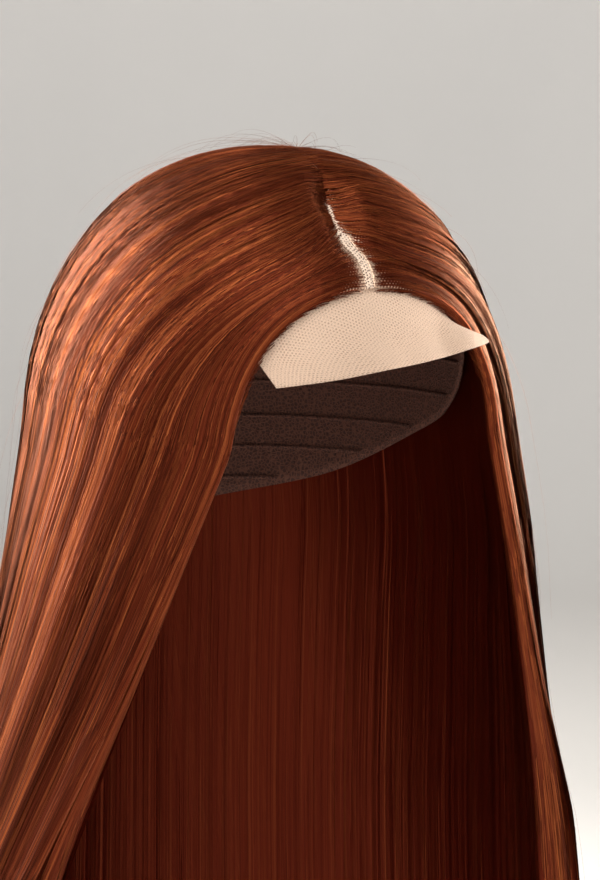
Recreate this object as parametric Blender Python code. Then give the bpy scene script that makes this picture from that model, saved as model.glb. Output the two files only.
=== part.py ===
"""Long straight lace front wig, as it hangs when worn.

Metres, +Z up, the face opening towards -Y and the wearer's left at +X. The origin is the inside of the
cap's crown, the point that sits on the top of the head.

Run with: blender --background --python part.py
"""

import math
from collections import namedtuple

import bmesh
import bpy
import numpy as np

# Head form that the cap fits: an average adult head, 548 mm round
HEAD_HALF_WIDTH = 0.077
HEAD_HALF_LENGTH = 0.097
CROWN_HEIGHT = 0.100  # from the head's widest level up to the crown
HEAD_SQUARENESS = 2.2  # 2 is a plain ellipsoid, more is boxier
NAPE_PULL_IN = 0.24  # share by which the head narrows one crown height below its widest level

# Cap and lace
CAP_WALL = 0.0012
LACE_WALL = 0.0010
SEAM_GAP = 0.0004  # between pieces that are sewn together
KNOT_GAP = 0.0008  # between the cap and the inner side of the hair that is knotted to it
LACE_CORNER_LIFT = 0.0074  # how far the free corner of the forehead lace stands off the head
LACE_LIFT_ANGLE = 17.0  # the corner begins to lift at this angle from the face's middle
LACE_LIFT_TURN = 12.0  # and is fully lifted this much further round
LACE_LIFT_SHARE = 0.62  # the same two, as shares of the way down to the free edge
LACE_LIFT_RISE = 0.30
PART_LACE_END_ANGLE = 27.0  # the parting lace runs from the hairline to this angle from the crown

# Hair
PARTING_HALF = 0.0026  # bare lace that shows each side of the part's middle
CLOSED_HALF = 0.0006  # the same behind the part, where the hair closes over it
WHORL_HALF = 0.0016  # radius of the ring of roots round the whorl
LOCK_GAP = 0.0005  # between one hair piece and the next
ROOT_DEPTH = 0.0014  # depth of the hair at its roots, at the hairline
CROWN_DEPTH = 0.0100  # the same where the strands meet at the crown
HAIR_COVER = 0.0125  # depth of the hair over the cap at the sides
BACK_FULLNESS = 0.60  # share by which the hair is deeper at the back
FALL_LENGTH = 0.455  # from the head's widest level down to the longest tips
LOCK_RELIEF = 0.0022  # depth of the grooves between locks
TIP_STAGGER = 0.024  # how much shorter a lock is at its edges than in its middle
ROOT_SLANT = 0.12  # how far the first strands lean forward from straight sideways at their roots
PART_SLANT = 1.25  # the same for the strands behind them
SLANT_TURN = 0.35  # the share of the way back to the whorl over which the lean changes between the two
START_REACH = 0.90  # how far the strands keep the direction of their roots
FILLING = 1.6  # how late the hair gains its depth on its way over the head: 1 is evenly
ROOT_EDGE_SPREAD = 0.50  # the share of the hair over which it thins to its front edge, at the roots
EDGE_SPREAD = 0.18  # and from the head's widest level down

# The strands nearest the front edge follow the hairline before they fall
EDGE_REACH = 0.16  # the share of the hair, from its front edge, that bends to the hairline
EDGE_FOLLOWING = 0.55  # how closely the very first strands follow it
EDGE_TURNING = 2.3  # how early they turn sideways: 1 is evenly
EDGE_FALLING = 1.7  # how late they begin to fall

# The part's two ends and the crown, as angles from the crown in degrees
HAIRLINE_ANGLE = 56.7
PART_OPEN_ANGLE = 31.0  # the hair begins to close over the part here
PART_CLOSED_ANGLE = 22.0
WHORL_ANGLE = 9.0  # where the strands meet
SWEEP_END_ANGLE = 112.0  # the strands from the part's end leave the head at this angle from the front

# Grid of the faceted solids
DOME_ROWS = 10
FALL_ROWS = 11
LOCK_STEPS = 4
RIM_STEPS = 48
CAP_ROWS = 9
LACE_STEPS = 26
LACE_ROWS = 6
PART_ROWS = 24

QUARTER = math.pi / 2

# Sections of the hanging hair. drop is a share of FALL_LENGTH, right_width and left_width are growths of
# the hair's inner side as shares of HEAD_HALF_WIDTH, length and centre are shares of HEAD_HALF_LENGTH,
# right_front and left_front are the front edge's angles from the face's middle in degrees, and depth and
# edge_depth are shares of HAIR_COVER, in the body of the hair and at its front edge.
FallSection = namedtuple(
    "FallSection",
    "drop right_width left_width length centre right_front left_front depth edge_depth",
)
FALL_SECTIONS = (
    FallSection(0.00, 0.02, 0.05, 0.00, 0.00, 44.5, 42.5, 1.00, 0.32),
    FallSection(0.11, 0.11, 0.20, 0.03, 0.01, 55.0, 49.0, 1.10, 0.36),
    FallSection(0.20, 0.18, 0.30, 0.05, 0.02, 63.0, 57.0, 1.20, 0.42),
    FallSection(0.29, 0.26, 0.42, 0.07, 0.03, 71.0, 65.0, 1.35, 0.55),
    FallSection(0.41, 0.37, 0.57, 0.08, 0.04, 79.0, 74.0, 1.60, 0.80),
    FallSection(0.65, 0.53, 0.72, 0.09, 0.05, 84.0, 79.0, 1.60, 0.85),
    FallSection(0.88, 0.57, 0.76, 0.14, 0.05, 85.0, 80.0, 1.10, 0.60),
    FallSection(1.00, 0.58, 0.77, 0.17, 0.05, 85.0, 81.0, 0.35, 0.35),
)

# The part's own line, which wanders a little: its place towards the wearer's left as a share of
# HEAD_HALF_WIDTH, at each angle from the crown in degrees
PartPoint = namedtuple("PartPoint", "angle shift")
PART_LINE = (
    PartPoint(9.0, 0.000),
    PartPoint(20.0, -0.030),
    PartPoint(31.0, -0.085),
    PartPoint(38.0, -0.125),
    PartPoint(44.0, -0.135),
    PartPoint(49.0, -0.090),
    PartPoint(53.0, -0.085),
    PartPoint(56.7, -0.105),
)

# The cap's rim: how far down it lies at each angle from the face's middle, both in degrees
RimPoint = namedtuple("RimPoint", "angle reach")
CAP_RIM = (
    RimPoint(0.0, 46.0),
    RimPoint(30.0, 49.0),
    RimPoint(55.0, 60.0),
    RimPoint(75.0, 84.0),
    RimPoint(100.0, 97.0),
    RimPoint(130.0, 109.0),
    RimPoint(180.0, 117.0),
)

# The forehead lace's free edge: its height as a share of CROWN_HEIGHT, at each angle from the face's
# middle in degrees
LaceEdge = namedtuple("LaceEdge", "angle height")
LACE_EDGE = (
    LaceEdge(-52.0, -0.800),
    LaceEdge(-25.0, -0.755),
    LaceEdge(0.0, -0.705),
    LaceEdge(25.0, -0.675),
    LaceEdge(52.0, -0.665),
)
# The forehead lace's two ends: their angles in degrees, by the share of the way down to the free edge
LaceEnd = namedtuple("LaceEnd", "share right left")
LACE_ENDS = (
    LaceEnd(0.00, -50.0, 30.0),
    LaceEnd(0.50, -44.5, 29.0),
    LaceEnd(0.67, -41.5, 27.0),
    LaceEnd(0.83, -38.0, 30.0),
    LaceEnd(1.00, -34.0, 44.0),
)

# Where one lock ends and the next begins, as shares of the way from the front edge to the back's middle
LOCK_EDGES = (0.0, 0.06, 0.13, 0.21, 0.30, 0.40, 0.51, 0.62, 0.74, 0.87, 1.0)
# Each lock's length against the others, as a share of TIP_STAGGER that it loses
LOCK_SHORTFALL = (1.6, 0.5, 0.0, 0.7, 0.2, 0.9, 0.3, 0.8, 0.1, 0.5)
# The first and last lock of each hair piece
HairPiece = namedtuple("HairPiece", "name first last")
HAIR_PIECES = (
    HairPiece("hair_front", 0, 3),
    HairPiece("hair_side", 3, 6),
    HairPiece("hair_back", 6, 10),
)
SIDES = (("right", -1), ("left", 1))

HAIR_OFFSET = CAP_WALL + KNOT_GAP  # from the head form to the inner side of the hair

Finish = namedtuple("Finish", "name colour roughness metallic")
COPPER_HAIR = Finish("copper_hair", (0.36, 0.085, 0.035), 0.35, 0.0)
CAP_NET = Finish("cap_net", (0.16, 0.065, 0.04), 0.8, 0.0)
SHEER_LACE = Finish("sheer_lace", (0.80, 0.60, 0.46), 0.75, 0.0)


def smooth(x):
    """0 below 0, 1 above 1, and an even S between."""
    x = min(1.0, max(0.0, x))
    return x * x * (3 - 2 * x)


def through(table, column, at):
    """The value of a table's column at a place in its first column, on a smooth curve through its rows."""
    xs = [row[0] for row in table]
    ys = [getattr(row, column) for row in table]
    slopes = [(ys[1] - ys[0]) / (xs[1] - xs[0])]
    for i in range(1, len(xs) - 1):
        slopes.append((ys[i + 1] - ys[i - 1]) / (xs[i + 1] - xs[i - 1]))
    slopes.append((ys[-1] - ys[-2]) / (xs[-1] - xs[-2]))
    at = min(xs[-1], max(xs[0], at))
    i = max(k for k in range(len(xs) - 1) if xs[k] <= at)
    span = xs[i + 1] - xs[i]
    u = (at - xs[i]) / span
    return (
        (2 * u**3 - 3 * u**2 + 1) * ys[i]
        + (u**3 - 2 * u**2 + u) * slopes[i] * span
        + (3 * u**2 - 2 * u**3) * ys[i + 1]
        + (u**3 - u**2) * slopes[i + 1] * span
    )


def head_point(theta, reach, offset):
    """A point over the head form.

    theta is the angle from the face's middle, towards the wearer's left. reach is the angle down from the
    crown, and past a quarter turn it goes on straight down, at the crown height for each radian. offset is
    the distance outwards.
    """
    power = 2 / HEAD_SQUARENESS
    if reach < QUARTER:
        out = math.sin(reach) ** power
        height = (CROWN_HEIGHT + offset) * math.cos(reach) ** power - CROWN_HEIGHT
    else:
        out = 1.0 - NAPE_PULL_IN * (reach - QUARTER) ** 2
        height = -CROWN_HEIGHT - CROWN_HEIGHT * (reach - QUARTER)
    return np.array(
        (
            (HEAD_HALF_WIDTH + offset) * out * math.sin(theta),
            -(HEAD_HALF_LENGTH + offset) * out * math.cos(theta),
            height,
        )
    )


def angle_for_height(height):
    """The reach at which the bare head form is this high, above its widest level."""
    share = (height + CROWN_HEIGHT) / CROWN_HEIGHT
    return math.acos(share ** (HEAD_SQUARENESS / 2))


def rim_reach(theta):
    """How far down the cap's rim lies, in radians, at an angle from the face's middle."""
    return math.radians(through(CAP_RIM, "reach", abs(math.degrees(theta))))


def front_angle(side, drop):
    """The angle of the hair's front edge, in radians, at a drop given as a share of the fall."""
    column = "right_front" if side < 0 else "left_front"
    return math.radians(through(FALL_SECTIONS, column, drop))


def strand_angle(side, across, drop):
    """The angle from the face's middle of a strand, by its place from front edge to back's middle."""
    front = front_angle(side, drop)
    return front + (math.pi - front) * across


def parting(angle):
    """Half the width of the part at an angle in front of the crown, as an angle itself, in radians."""
    closing = smooth((PART_OPEN_ANGLE - angle) / (PART_OPEN_ANGLE - PART_CLOSED_ANGLE))
    ring = smooth((PART_CLOSED_ANGLE - angle) / (PART_CLOSED_ANGLE - WHORL_ANGLE))
    half = PARTING_HALF + (CLOSED_HALF - PARTING_HALF) * closing + (WHORL_HALF - CLOSED_HALF) * ring
    return half / CROWN_HEIGHT


def part_shift(angle):
    """How far the part's middle lies towards the wearer's left, as an angle from the crown, in radians."""
    return through(PART_LINE, "shift", angle) * HEAD_HALF_WIDTH / CROWN_HEIGHT


def root_of(side, across):
    """A strand's root and first direction on the plane that the head unrolls to round the crown, and the
    share of the way that the root has gone from the hairline to the whorl."""
    front = front_angle(side, 0.0)
    turning = (math.radians(SWEEP_END_ANGLE) - front) / (math.pi - front)
    if across <= turning:
        along = across / turning
        angle = HAIRLINE_ANGLE + (WHORL_ANGLE - HAIRLINE_ANGLE) * along
        root = np.array((parting(angle) + side * part_shift(angle), -math.radians(angle)))
        lean = ROOT_SLANT + (PART_SLANT - ROOT_SLANT) * smooth(along / SLANT_TURN)
        return root, np.array((1.0, -lean * (1 - along))), along
    round_end = (across - turning) / (1 - turning) * QUARTER
    way = np.array((math.cos(round_end), math.sin(round_end)))
    return np.array((0.0, -math.radians(WHORL_ANGLE))) + parting(WHORL_ANGLE) * way, way, 1.0


def sweep(side, across, along):
    """Where a strand is on its way over the head, as (theta, reach): along is 0 at its root and 1 where it
    leaves the head's widest level."""
    root, out, _ = root_of(side, across)
    angle = strand_angle(side, across, 0.0)
    step = 0.01
    turn = (strand_angle(side, across, step) - angle) / (step * FALL_LENGTH / CROWN_HEIGHT)
    down = np.array((math.sin(angle), -math.cos(angle)))
    around = np.array((math.cos(angle), math.sin(angle)))
    end = QUARTER * down
    leave = down + QUARTER * turn * around
    span = np.linalg.norm(end - root)
    out = out / np.linalg.norm(out) * span * START_REACH
    leave = leave / np.linalg.norm(leave) * span
    u = along
    place = (
        (2 * u**3 - 3 * u**2 + 1) * root
        + (u**3 - 2 * u**2 + u) * out
        + (3 * u**2 - 2 * u**3) * end
        + (u**3 - u**2) * leave
    )
    first = float(np.hypot(*root))
    turned = math.atan2(root[0], -root[1])
    turned += (angle - turned) * (1 - (1 - u) ** EDGE_TURNING)
    reach = first + (QUARTER - first) * u**EDGE_FALLING
    beside = reach * np.array((math.sin(turned), -math.cos(turned)))
    place += (beside - place) * EDGE_FOLLOWING * (1 - smooth(across / EDGE_REACH))
    return math.atan2(place[0], -place[1]), min(QUARTER, float(np.hypot(*place)))


def hair_depth(theta, depth_share):
    """The hair's depth at an angle from the face's middle: it is fuller at the back."""
    return HAIR_COVER * depth_share * (1 + BACK_FULLNESS * (1 - math.cos(theta)) / 2)


def edge_share(across, at_edge, spread):
    """The share of its depth that the hair has, where it thins to its front edge over some spread."""
    return at_edge + (1 - at_edge) * smooth(across / spread)


def hair_point(side, across, row, depth, tip_drop=1.0):
    """A point in the hair. across goes from its front edge to the back's middle, row from 0 at the root to
    1 at the head's widest level and 2 at the tip, and depth from 0 at its inner side to 1 outside."""
    growth = "right_width" if side < 0 else "left_width"
    if row <= 1:
        theta, reach = sweep(side, across, row)
        spread = ROOT_EDGE_SPREAD + (EDGE_SPREAD - ROOT_EDGE_SPREAD) * row
        edge = edge_share(across, through(FALL_SECTIONS, "edge_depth", 0.0), spread)
        rooted = ROOT_DEPTH + (CROWN_DEPTH - ROOT_DEPTH) * smooth(root_of(side, across)[2])
        out = rooted + (edge * hair_depth(theta, 1.0) - rooted) * row**FILLING
        point = head_point(theta, reach, HAIR_OFFSET + depth * out)
        point[0] += HEAD_HALF_WIDTH * through(FALL_SECTIONS, growth, 0.0) * row**2 * math.sin(theta)
    else:
        drop = (row - 1) * tip_drop
        theta = strand_angle(side, across, drop)
        width = HEAD_HALF_WIDTH * (1 + through(FALL_SECTIONS, growth, drop)) + HAIR_OFFSET
        length = HEAD_HALF_LENGTH * (1 + through(FALL_SECTIONS, "length", drop)) + HAIR_OFFSET
        centre = HEAD_HALF_LENGTH * through(FALL_SECTIONS, "centre", drop)
        edge = edge_share(across, through(FALL_SECTIONS, "edge_depth", drop), EDGE_SPREAD)
        out = depth * edge * hair_depth(theta, through(FALL_SECTIONS, "depth", drop))
        point = np.array(
            (
                (width + out) * math.sin(theta),
                centre - (length + out) * math.cos(theta),
                -CROWN_HEIGHT - drop * FALL_LENGTH,
            )
        )
    return point * np.array((side, 1, 1))


def lock_at(across):
    """Which lock a place across the hair is in, and how far across that lock it is."""
    lock = max(k for k in range(len(LOCK_SHORTFALL)) if LOCK_EDGES[k] <= across + 1e-9)
    return lock, (across - LOCK_EDGES[lock]) / (LOCK_EDGES[lock + 1] - LOCK_EDGES[lock])


def tip_of(across):
    """How far the tip hangs down at a place across the hair, as a share of FALL_LENGTH."""
    lock, inside = lock_at(across)
    beside = lock + (1 if inside > 0.5 else -1)
    beside = min(len(LOCK_SHORTFALL) - 1, max(0, beside))
    middle = LOCK_SHORTFALL[lock]
    at_edge = 1 + (middle + LOCK_SHORTFALL[beside]) / 2
    short = middle + (at_edge - middle) * abs(2 * inside - 1) ** 1.5
    return 1 - TIP_STAGGER * short / FALL_LENGTH


def groove_at(across, row):
    """How far the outside sinks between two locks."""
    inside = lock_at(across)[1]
    return LOCK_RELIEF * abs(2 * inside - 1) ** 2 * smooth(row / 0.8)


def fill_shell(bm, outside, inside):
    """Joins two equal grids of points, each a list of rows, into one closed body."""
    rows, columns = len(outside), len(outside[0])
    out = [[bm.verts.new(point) for point in row] for row in outside]
    inn = [[bm.verts.new(point) for point in row] for row in inside]
    for r in range(rows - 1):
        for c in range(columns - 1):
            bm.faces.new((out[r][c], out[r][c + 1], out[r + 1][c + 1], out[r + 1][c]))
            bm.faces.new((inn[r][c], inn[r + 1][c], inn[r + 1][c + 1], inn[r][c + 1]))
        bm.faces.new((out[r][0], out[r + 1][0], inn[r + 1][0], inn[r][0]))
        bm.faces.new((out[r][-1], inn[r][-1], inn[r + 1][-1], out[r + 1][-1]))
    for c in range(columns - 1):
        bm.faces.new((out[0][c], inn[0][c], inn[0][c + 1], out[0][c + 1]))
        bm.faces.new((out[-1][c], out[-1][c + 1], inn[-1][c + 1], inn[-1][c]))


def finish_object(name, bm, finish, sharp_angle):
    """Makes an object of a bmesh, with its own material."""
    bmesh.ops.recalc_face_normals(bm, faces=bm.faces)
    mesh = bpy.data.meshes.new(name)
    bm.to_mesh(mesh)
    bm.free()
    thing = bpy.data.objects.new(name, mesh)
    bpy.context.scene.collection.objects.link(thing)
    mesh.shade_smooth()
    mesh.set_sharp_from_angle(angle=math.radians(sharp_angle))
    material = bpy.data.materials.new(name + "_" + finish.name)
    material.use_nodes = True
    shader = material.node_tree.nodes["Principled BSDF"]
    shader.inputs["Base Color"].default_value = (*finish.colour, 1.0)
    shader.inputs["Roughness"].default_value = finish.roughness
    shader.inputs["Metallic"].default_value = finish.metallic
    mesh.materials.append(material)
    return thing


def add_hair_piece(piece, side_name, side):
    """A section of the hair: locks fused side by side, from their roots to their staggered tips."""
    first, last = LOCK_EDGES[piece.first], LOCK_EDGES[piece.last]
    places = []
    for lock in range(piece.first, piece.last):
        start, end = LOCK_EDGES[lock], LOCK_EDGES[lock + 1]
        places += [start + (end - start) * k / LOCK_STEPS for k in range(LOCK_STEPS)]
    places.append(last)
    rows = [k / DOME_ROWS for k in range(DOME_ROWS + 1)]
    rows += [1 + k / FALL_ROWS for k in range(1, FALL_ROWS + 1)]
    step = 0.004
    outside, inside = [], []
    for row in rows:
        low, high = first, last
        if first > 0:
            spread = hair_point(side, first + step, row, 0.0) - hair_point(side, first, row, 0.0)
            low += LOCK_GAP / 2 / (np.linalg.norm(spread) / step)
        spread = hair_point(side, last, row, 0.0) - hair_point(side, last - step, row, 0.0)
        high -= LOCK_GAP / 2 / (np.linalg.norm(spread) / step)
        out_row, in_row = [], []
        for place in places:
            across = low + (high - low) * (place - first) / (last - first)
            tip = tip_of(min(place, last - 1e-6))
            outer = hair_point(side, across, row, 1.0, tip)
            inner = hair_point(side, across, row, 0.0, tip)
            wall = outer - inner
            deep = np.linalg.norm(wall)
            sink = min(groove_at(min(place, last - 1e-6), row), 0.45 * deep)
            out_row.append(outer - wall / deep * sink)
            in_row.append(inner)
        outside.append(out_row)
        inside.append(in_row)
    bm = bmesh.new()
    fill_shell(bm, outside, inside)
    return finish_object(f"{piece.name}_{side_name}", bm, COPPER_HAIR, 50)


def add_cap():
    """The net cap: a thin dome with an open underside and a rim that rises over the ears."""
    bm = bmesh.new()
    layers = []
    for offset in (CAP_WALL, 0.0):
        rings = []
        for row in range(1, CAP_ROWS + 1):
            ring = []
            for k in range(RIM_STEPS):
                theta = math.tau * k / RIM_STEPS
                signed = theta if theta <= math.pi else theta - math.tau
                ring.append(bm.verts.new(head_point(theta, rim_reach(signed) * row / CAP_ROWS, offset)))
            rings.append(ring)
        layers.append((bm.verts.new(head_point(0.0, 0.0, offset)), rings))
    for crown, rings in layers:
        for k in range(RIM_STEPS):
            after = (k + 1) % RIM_STEPS
            bm.faces.new((crown, rings[0][k], rings[0][after]))
            for lower, upper in zip(rings[1:], rings):
                bm.faces.new((upper[k], lower[k], lower[after], upper[after]))
    outer, inner = layers[0][1][-1], layers[1][1][-1]
    for k in range(RIM_STEPS):
        after = (k + 1) % RIM_STEPS
        bm.faces.new((outer[k], inner[k], inner[after], outer[after]))
    return finish_object("cap", bm, CAP_NET, 50)


def add_lace_front():
    """The untrimmed lace over the forehead: a thin curved sheet from the cap's rim to its free edge."""
    outside, inside = [], []
    for r in range(LACE_ROWS + 1):
        share = r / LACE_ROWS
        right, left = (through(LACE_ENDS, end, share) for end in ("right", "left"))
        out_row, in_row = [], []
        for c in range(LACE_STEPS + 1):
            angle = right + (left - right) * c / LACE_STEPS
            theta = math.radians(angle)
            top = rim_reach(theta) + SEAM_GAP / CROWN_HEIGHT
            bottom = angle_for_height(through(LACE_EDGE, "height", angle) * CROWN_HEIGHT)
            reach = top + (bottom - top) * share
            sideways = smooth((angle - LACE_LIFT_ANGLE) / LACE_LIFT_TURN)
            lift = LACE_CORNER_LIFT * sideways * smooth((share - LACE_LIFT_SHARE) / LACE_LIFT_RISE)
            out_row.append(head_point(theta, reach, LACE_WALL + lift))
            in_row.append(head_point(theta, reach, lift))
        outside.append(out_row)
        inside.append(in_row)
    bm = bmesh.new()
    fill_shell(bm, outside, inside)
    return finish_object("lace_front", bm, SHEER_LACE, 50)


def add_lace_part():
    """The lace strip that shows along the part."""
    outside, inside = [], []
    low = CAP_WALL + SEAM_GAP
    for r in range(PART_ROWS + 1):
        angle = HAIRLINE_ANGLE + (PART_LACE_END_ANGLE - HAIRLINE_ANGLE) * r / PART_ROWS
        half = parting(angle) - SEAM_GAP / CROWN_HEIGHT
        out_row, in_row = [], []
        for c in (-1, 0, 1):
            place = np.array((c * half + part_shift(angle), -math.radians(angle)))
            theta, reach = math.atan2(place[0], -place[1]), float(np.hypot(*place))
            out_row.append(head_point(theta, reach, low + LACE_WALL))
            in_row.append(head_point(theta, reach, low))
        outside.append(out_row)
        inside.append(in_row)
    bm = bmesh.new()
    fill_shell(bm, outside, inside)
    return finish_object("lace_part", bm, SHEER_LACE, 50)


def main():
    """Builds every piece."""
    for old in list(bpy.data.objects):
        bpy.data.objects.remove(old, do_unlink=True)
    add_cap()
    add_lace_front()
    add_lace_part()
    for piece in HAIR_PIECES:
        for side_name, side in SIDES:
            add_hair_piece(piece, side_name, side)


if __name__ == "__main__":
    main()
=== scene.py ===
"""Looks of a long straight lace front wig, as it hangs when worn.

Metres, +Z up, the face opening towards -Y and the wearer's left at +X. The origin is the inside of the
cap's crown.
"""

import sys
import logging
import math
from dataclasses import dataclass, field, replace
from enum import Enum
from typing import NamedTuple, Sequence

import bmesh
import bpy
import numpy as np
from mathutils import Euler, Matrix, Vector


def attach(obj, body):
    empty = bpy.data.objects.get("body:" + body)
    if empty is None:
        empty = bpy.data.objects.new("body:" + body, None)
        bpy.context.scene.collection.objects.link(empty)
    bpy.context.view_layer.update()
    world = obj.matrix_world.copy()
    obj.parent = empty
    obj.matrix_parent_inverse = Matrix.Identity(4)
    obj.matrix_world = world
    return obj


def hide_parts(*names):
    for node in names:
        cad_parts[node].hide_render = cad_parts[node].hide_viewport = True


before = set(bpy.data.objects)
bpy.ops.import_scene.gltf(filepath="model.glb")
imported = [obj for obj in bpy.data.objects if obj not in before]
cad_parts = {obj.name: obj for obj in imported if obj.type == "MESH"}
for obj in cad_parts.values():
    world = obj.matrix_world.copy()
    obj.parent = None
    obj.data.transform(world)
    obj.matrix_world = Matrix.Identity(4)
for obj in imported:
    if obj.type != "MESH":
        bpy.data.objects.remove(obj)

Array = np.ndarray
Colour = tuple[float, float, float]
Size = tuple[float, float]

LOG = logging.getLogger("wig")
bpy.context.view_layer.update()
BODY = "root"
QUARTER = math.pi / 2


class Slot(Enum):
    """The record's material slots."""

    HAIR = "hair"
    CAP_NET = "cap_net"
    LACE = "lace"


class Side(Enum):
    """The wearer's two sides, by the sign of X."""

    RIGHT = -1
    LEFT = 1


# Node helpers


class NodeBuilder:
    """Adds nodes to a tree, each with its settings and inputs."""

    tree: bpy.types.NodeTree

    def node(self, kind: str, settings: dict, inputs: dict, output: int | str = 0) -> object:
        """Adds a node.

        Args:
            kind: the node's type.
            settings: its properties, set before its sockets.
            inputs: values, sockets or signals, by socket name or number.
            output: the socket to hand back, by name or number.

        Returns:
            The output.
        """
        node = self.tree.nodes.new(kind)
        for key, value in settings.items():
            if key == "stops":
                self._set_stops(node.color_ramp, value)
            else:
                setattr(node, key, value)
        for key, value in inputs.items():
            self.feed(node.inputs[key], value)
        return node.outputs[output]

    @staticmethod
    def _set_stops(ramp: bpy.types.ColorRamp, stops: Sequence[tuple[float, Colour]]) -> None:
        """Gives a colour ramp its stops."""
        while len(ramp.elements) < len(stops):
            ramp.elements.new(1.0)
        for element, (place, colour) in zip(ramp.elements, stops):
            element.position = place
            element.color = (*colour, 1.0)

    def feed(self, socket: bpy.types.NodeSocket, value: object) -> None:
        """Links a socket or signal to a socket, or sets the socket's own value."""
        source = value.socket if isinstance(value, Signal) else value
        if isinstance(source, bpy.types.NodeSocket):
            self.tree.links.new(source, socket)
        elif hasattr(value, "__len__") and socket.type == "RGBA":
            socket.default_value = (*value, 1.0)
        else:
            socket.default_value = value


class Signal:
    """A shader socket that adds its Math nodes when it is used in arithmetic."""

    def __init__(self, graph: "ShaderGraph", socket: bpy.types.NodeSocket) -> None:
        """Wraps a socket.

        Args:
            graph: the graph that the socket belongs to.
            socket: an output socket.
        """
        self.graph = graph
        self.socket = socket

    def _math(self, operation: str, first: object, second: object) -> "Signal":
        """Adds a Math node on two values or signals."""
        return self.graph.node("ShaderNodeMath", {"operation": operation}, {0: first, 1: second})

    def __add__(self, other: object) -> "Signal":
        """self + other."""
        return self._math("ADD", self, other)

    def __sub__(self, other: object) -> "Signal":
        """self - other."""
        return self._math("SUBTRACT", self, other)

    def __mul__(self, other: object) -> "Signal":
        """self * other."""
        return self._math("MULTIPLY", self, other)

    def __truediv__(self, other: object) -> "Signal":
        """self / other."""
        return self._math("DIVIDE", self, other)

    def cosine(self) -> "Signal":
        """The cosine of this signal."""
        return self.graph.node("ShaderNodeMath", {"operation": "COSINE"}, {0: self})

    def clamped(self) -> "Signal":
        """This signal held between 0 and 1."""
        return self.graph.node("ShaderNodeClamp", {}, {"Value": self})


class ShaderGraph(NodeBuilder):
    """A material's node tree, built a node at a time."""

    def __init__(self, name: str) -> None:
        """Makes a material with an empty Principled shader.

        Args:
            name: the material's name.
        """
        self.material = bpy.data.materials.new(name)
        self.material.use_nodes = True
        self.tree = self.material.node_tree
        self.shader = self.tree.nodes["Principled BSDF"]

    def node(self, kind: str, settings: dict, inputs: dict, output: int | str = 0) -> Signal:
        """Adds a node, as NodeBuilder does, and hands back its output as a signal."""
        return Signal(self, super().node(kind, settings, inputs, output))

    def attribute(self, name: str) -> Signal:
        """A number that the mesh carries under a name."""
        return self.node("ShaderNodeAttribute", {"attribute_name": name}, {}, "Fac")

    def vector(self, x: object, y: object, z: object = 0.0) -> Signal:
        """Three numbers as a vector."""
        return self.node("ShaderNodeCombineXYZ", {}, {0: x, 1: y, 2: z})

    def noise(self, vector: Signal, scale: float = 1.0, detail: float = 2.0) -> Signal:
        """Noise from 0 to 1 along a vector."""
        return self.node("ShaderNodeTexNoise", {}, {"Vector": vector, "Scale": scale, "Detail": detail})

    def mix(self, factor: object, first: object, second: object) -> Signal:
        """Mixes two colours."""
        return self.node("ShaderNodeMix", {"data_type": "RGBA"}, {0: factor, 6: first, 7: second}, 2)

    def ramp(self, factor: Signal, stops: Sequence[tuple[float, Colour]]) -> Signal:
        """A colour from a ramp."""
        return self.node("ShaderNodeValToRGB", {"stops": stops}, {0: factor})

    def range(
        self, value: Signal, low: float, high: float, to_low: float = 0.0, to_high: float = 1.0
    ) -> Signal:
        """A smooth step of a value from one range to another."""
        inputs = {0: value, 1: low, 2: high, 3: to_low, 4: to_high}
        return self.node("ShaderNodeMapRange", {"interpolation_type": "SMOOTHSTEP"}, inputs)

    def net_holes(self, across: Signal, down: Signal, pitch: float) -> Signal:
        """The holes of a hexagonal net, from -0.5 on its threads to 1 in the holes' middles.

        Args:
            across: metres across the net.
            down: metres down the net.
            pitch: from hole to hole.

        Returns:
            The holes.
        """
        wave = math.tau / pitch
        a, b = across * wave, down * (wave * math.sqrt(0.75))
        return (a.cosine() + (a * 0.5 + b).cosine() + (a * 0.5 - b).cosine()) / 3.0

    def bump(self, height: Signal, strength: float, distance: float) -> Signal:
        """A normal from a height in metres times distance."""
        inputs = {"Strength": strength, "Distance": distance, "Height": height}
        return self.node("ShaderNodeBump", {}, inputs)

    def dress(self, **sockets: object) -> bpy.types.Material:
        """Feeds the Principled shader, by socket name with _ for a space, and hands back the material."""
        for key, value in sockets.items():
            self.feed(self.shader.inputs[key.replace("_", " ")], value)
        return self.material


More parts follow.
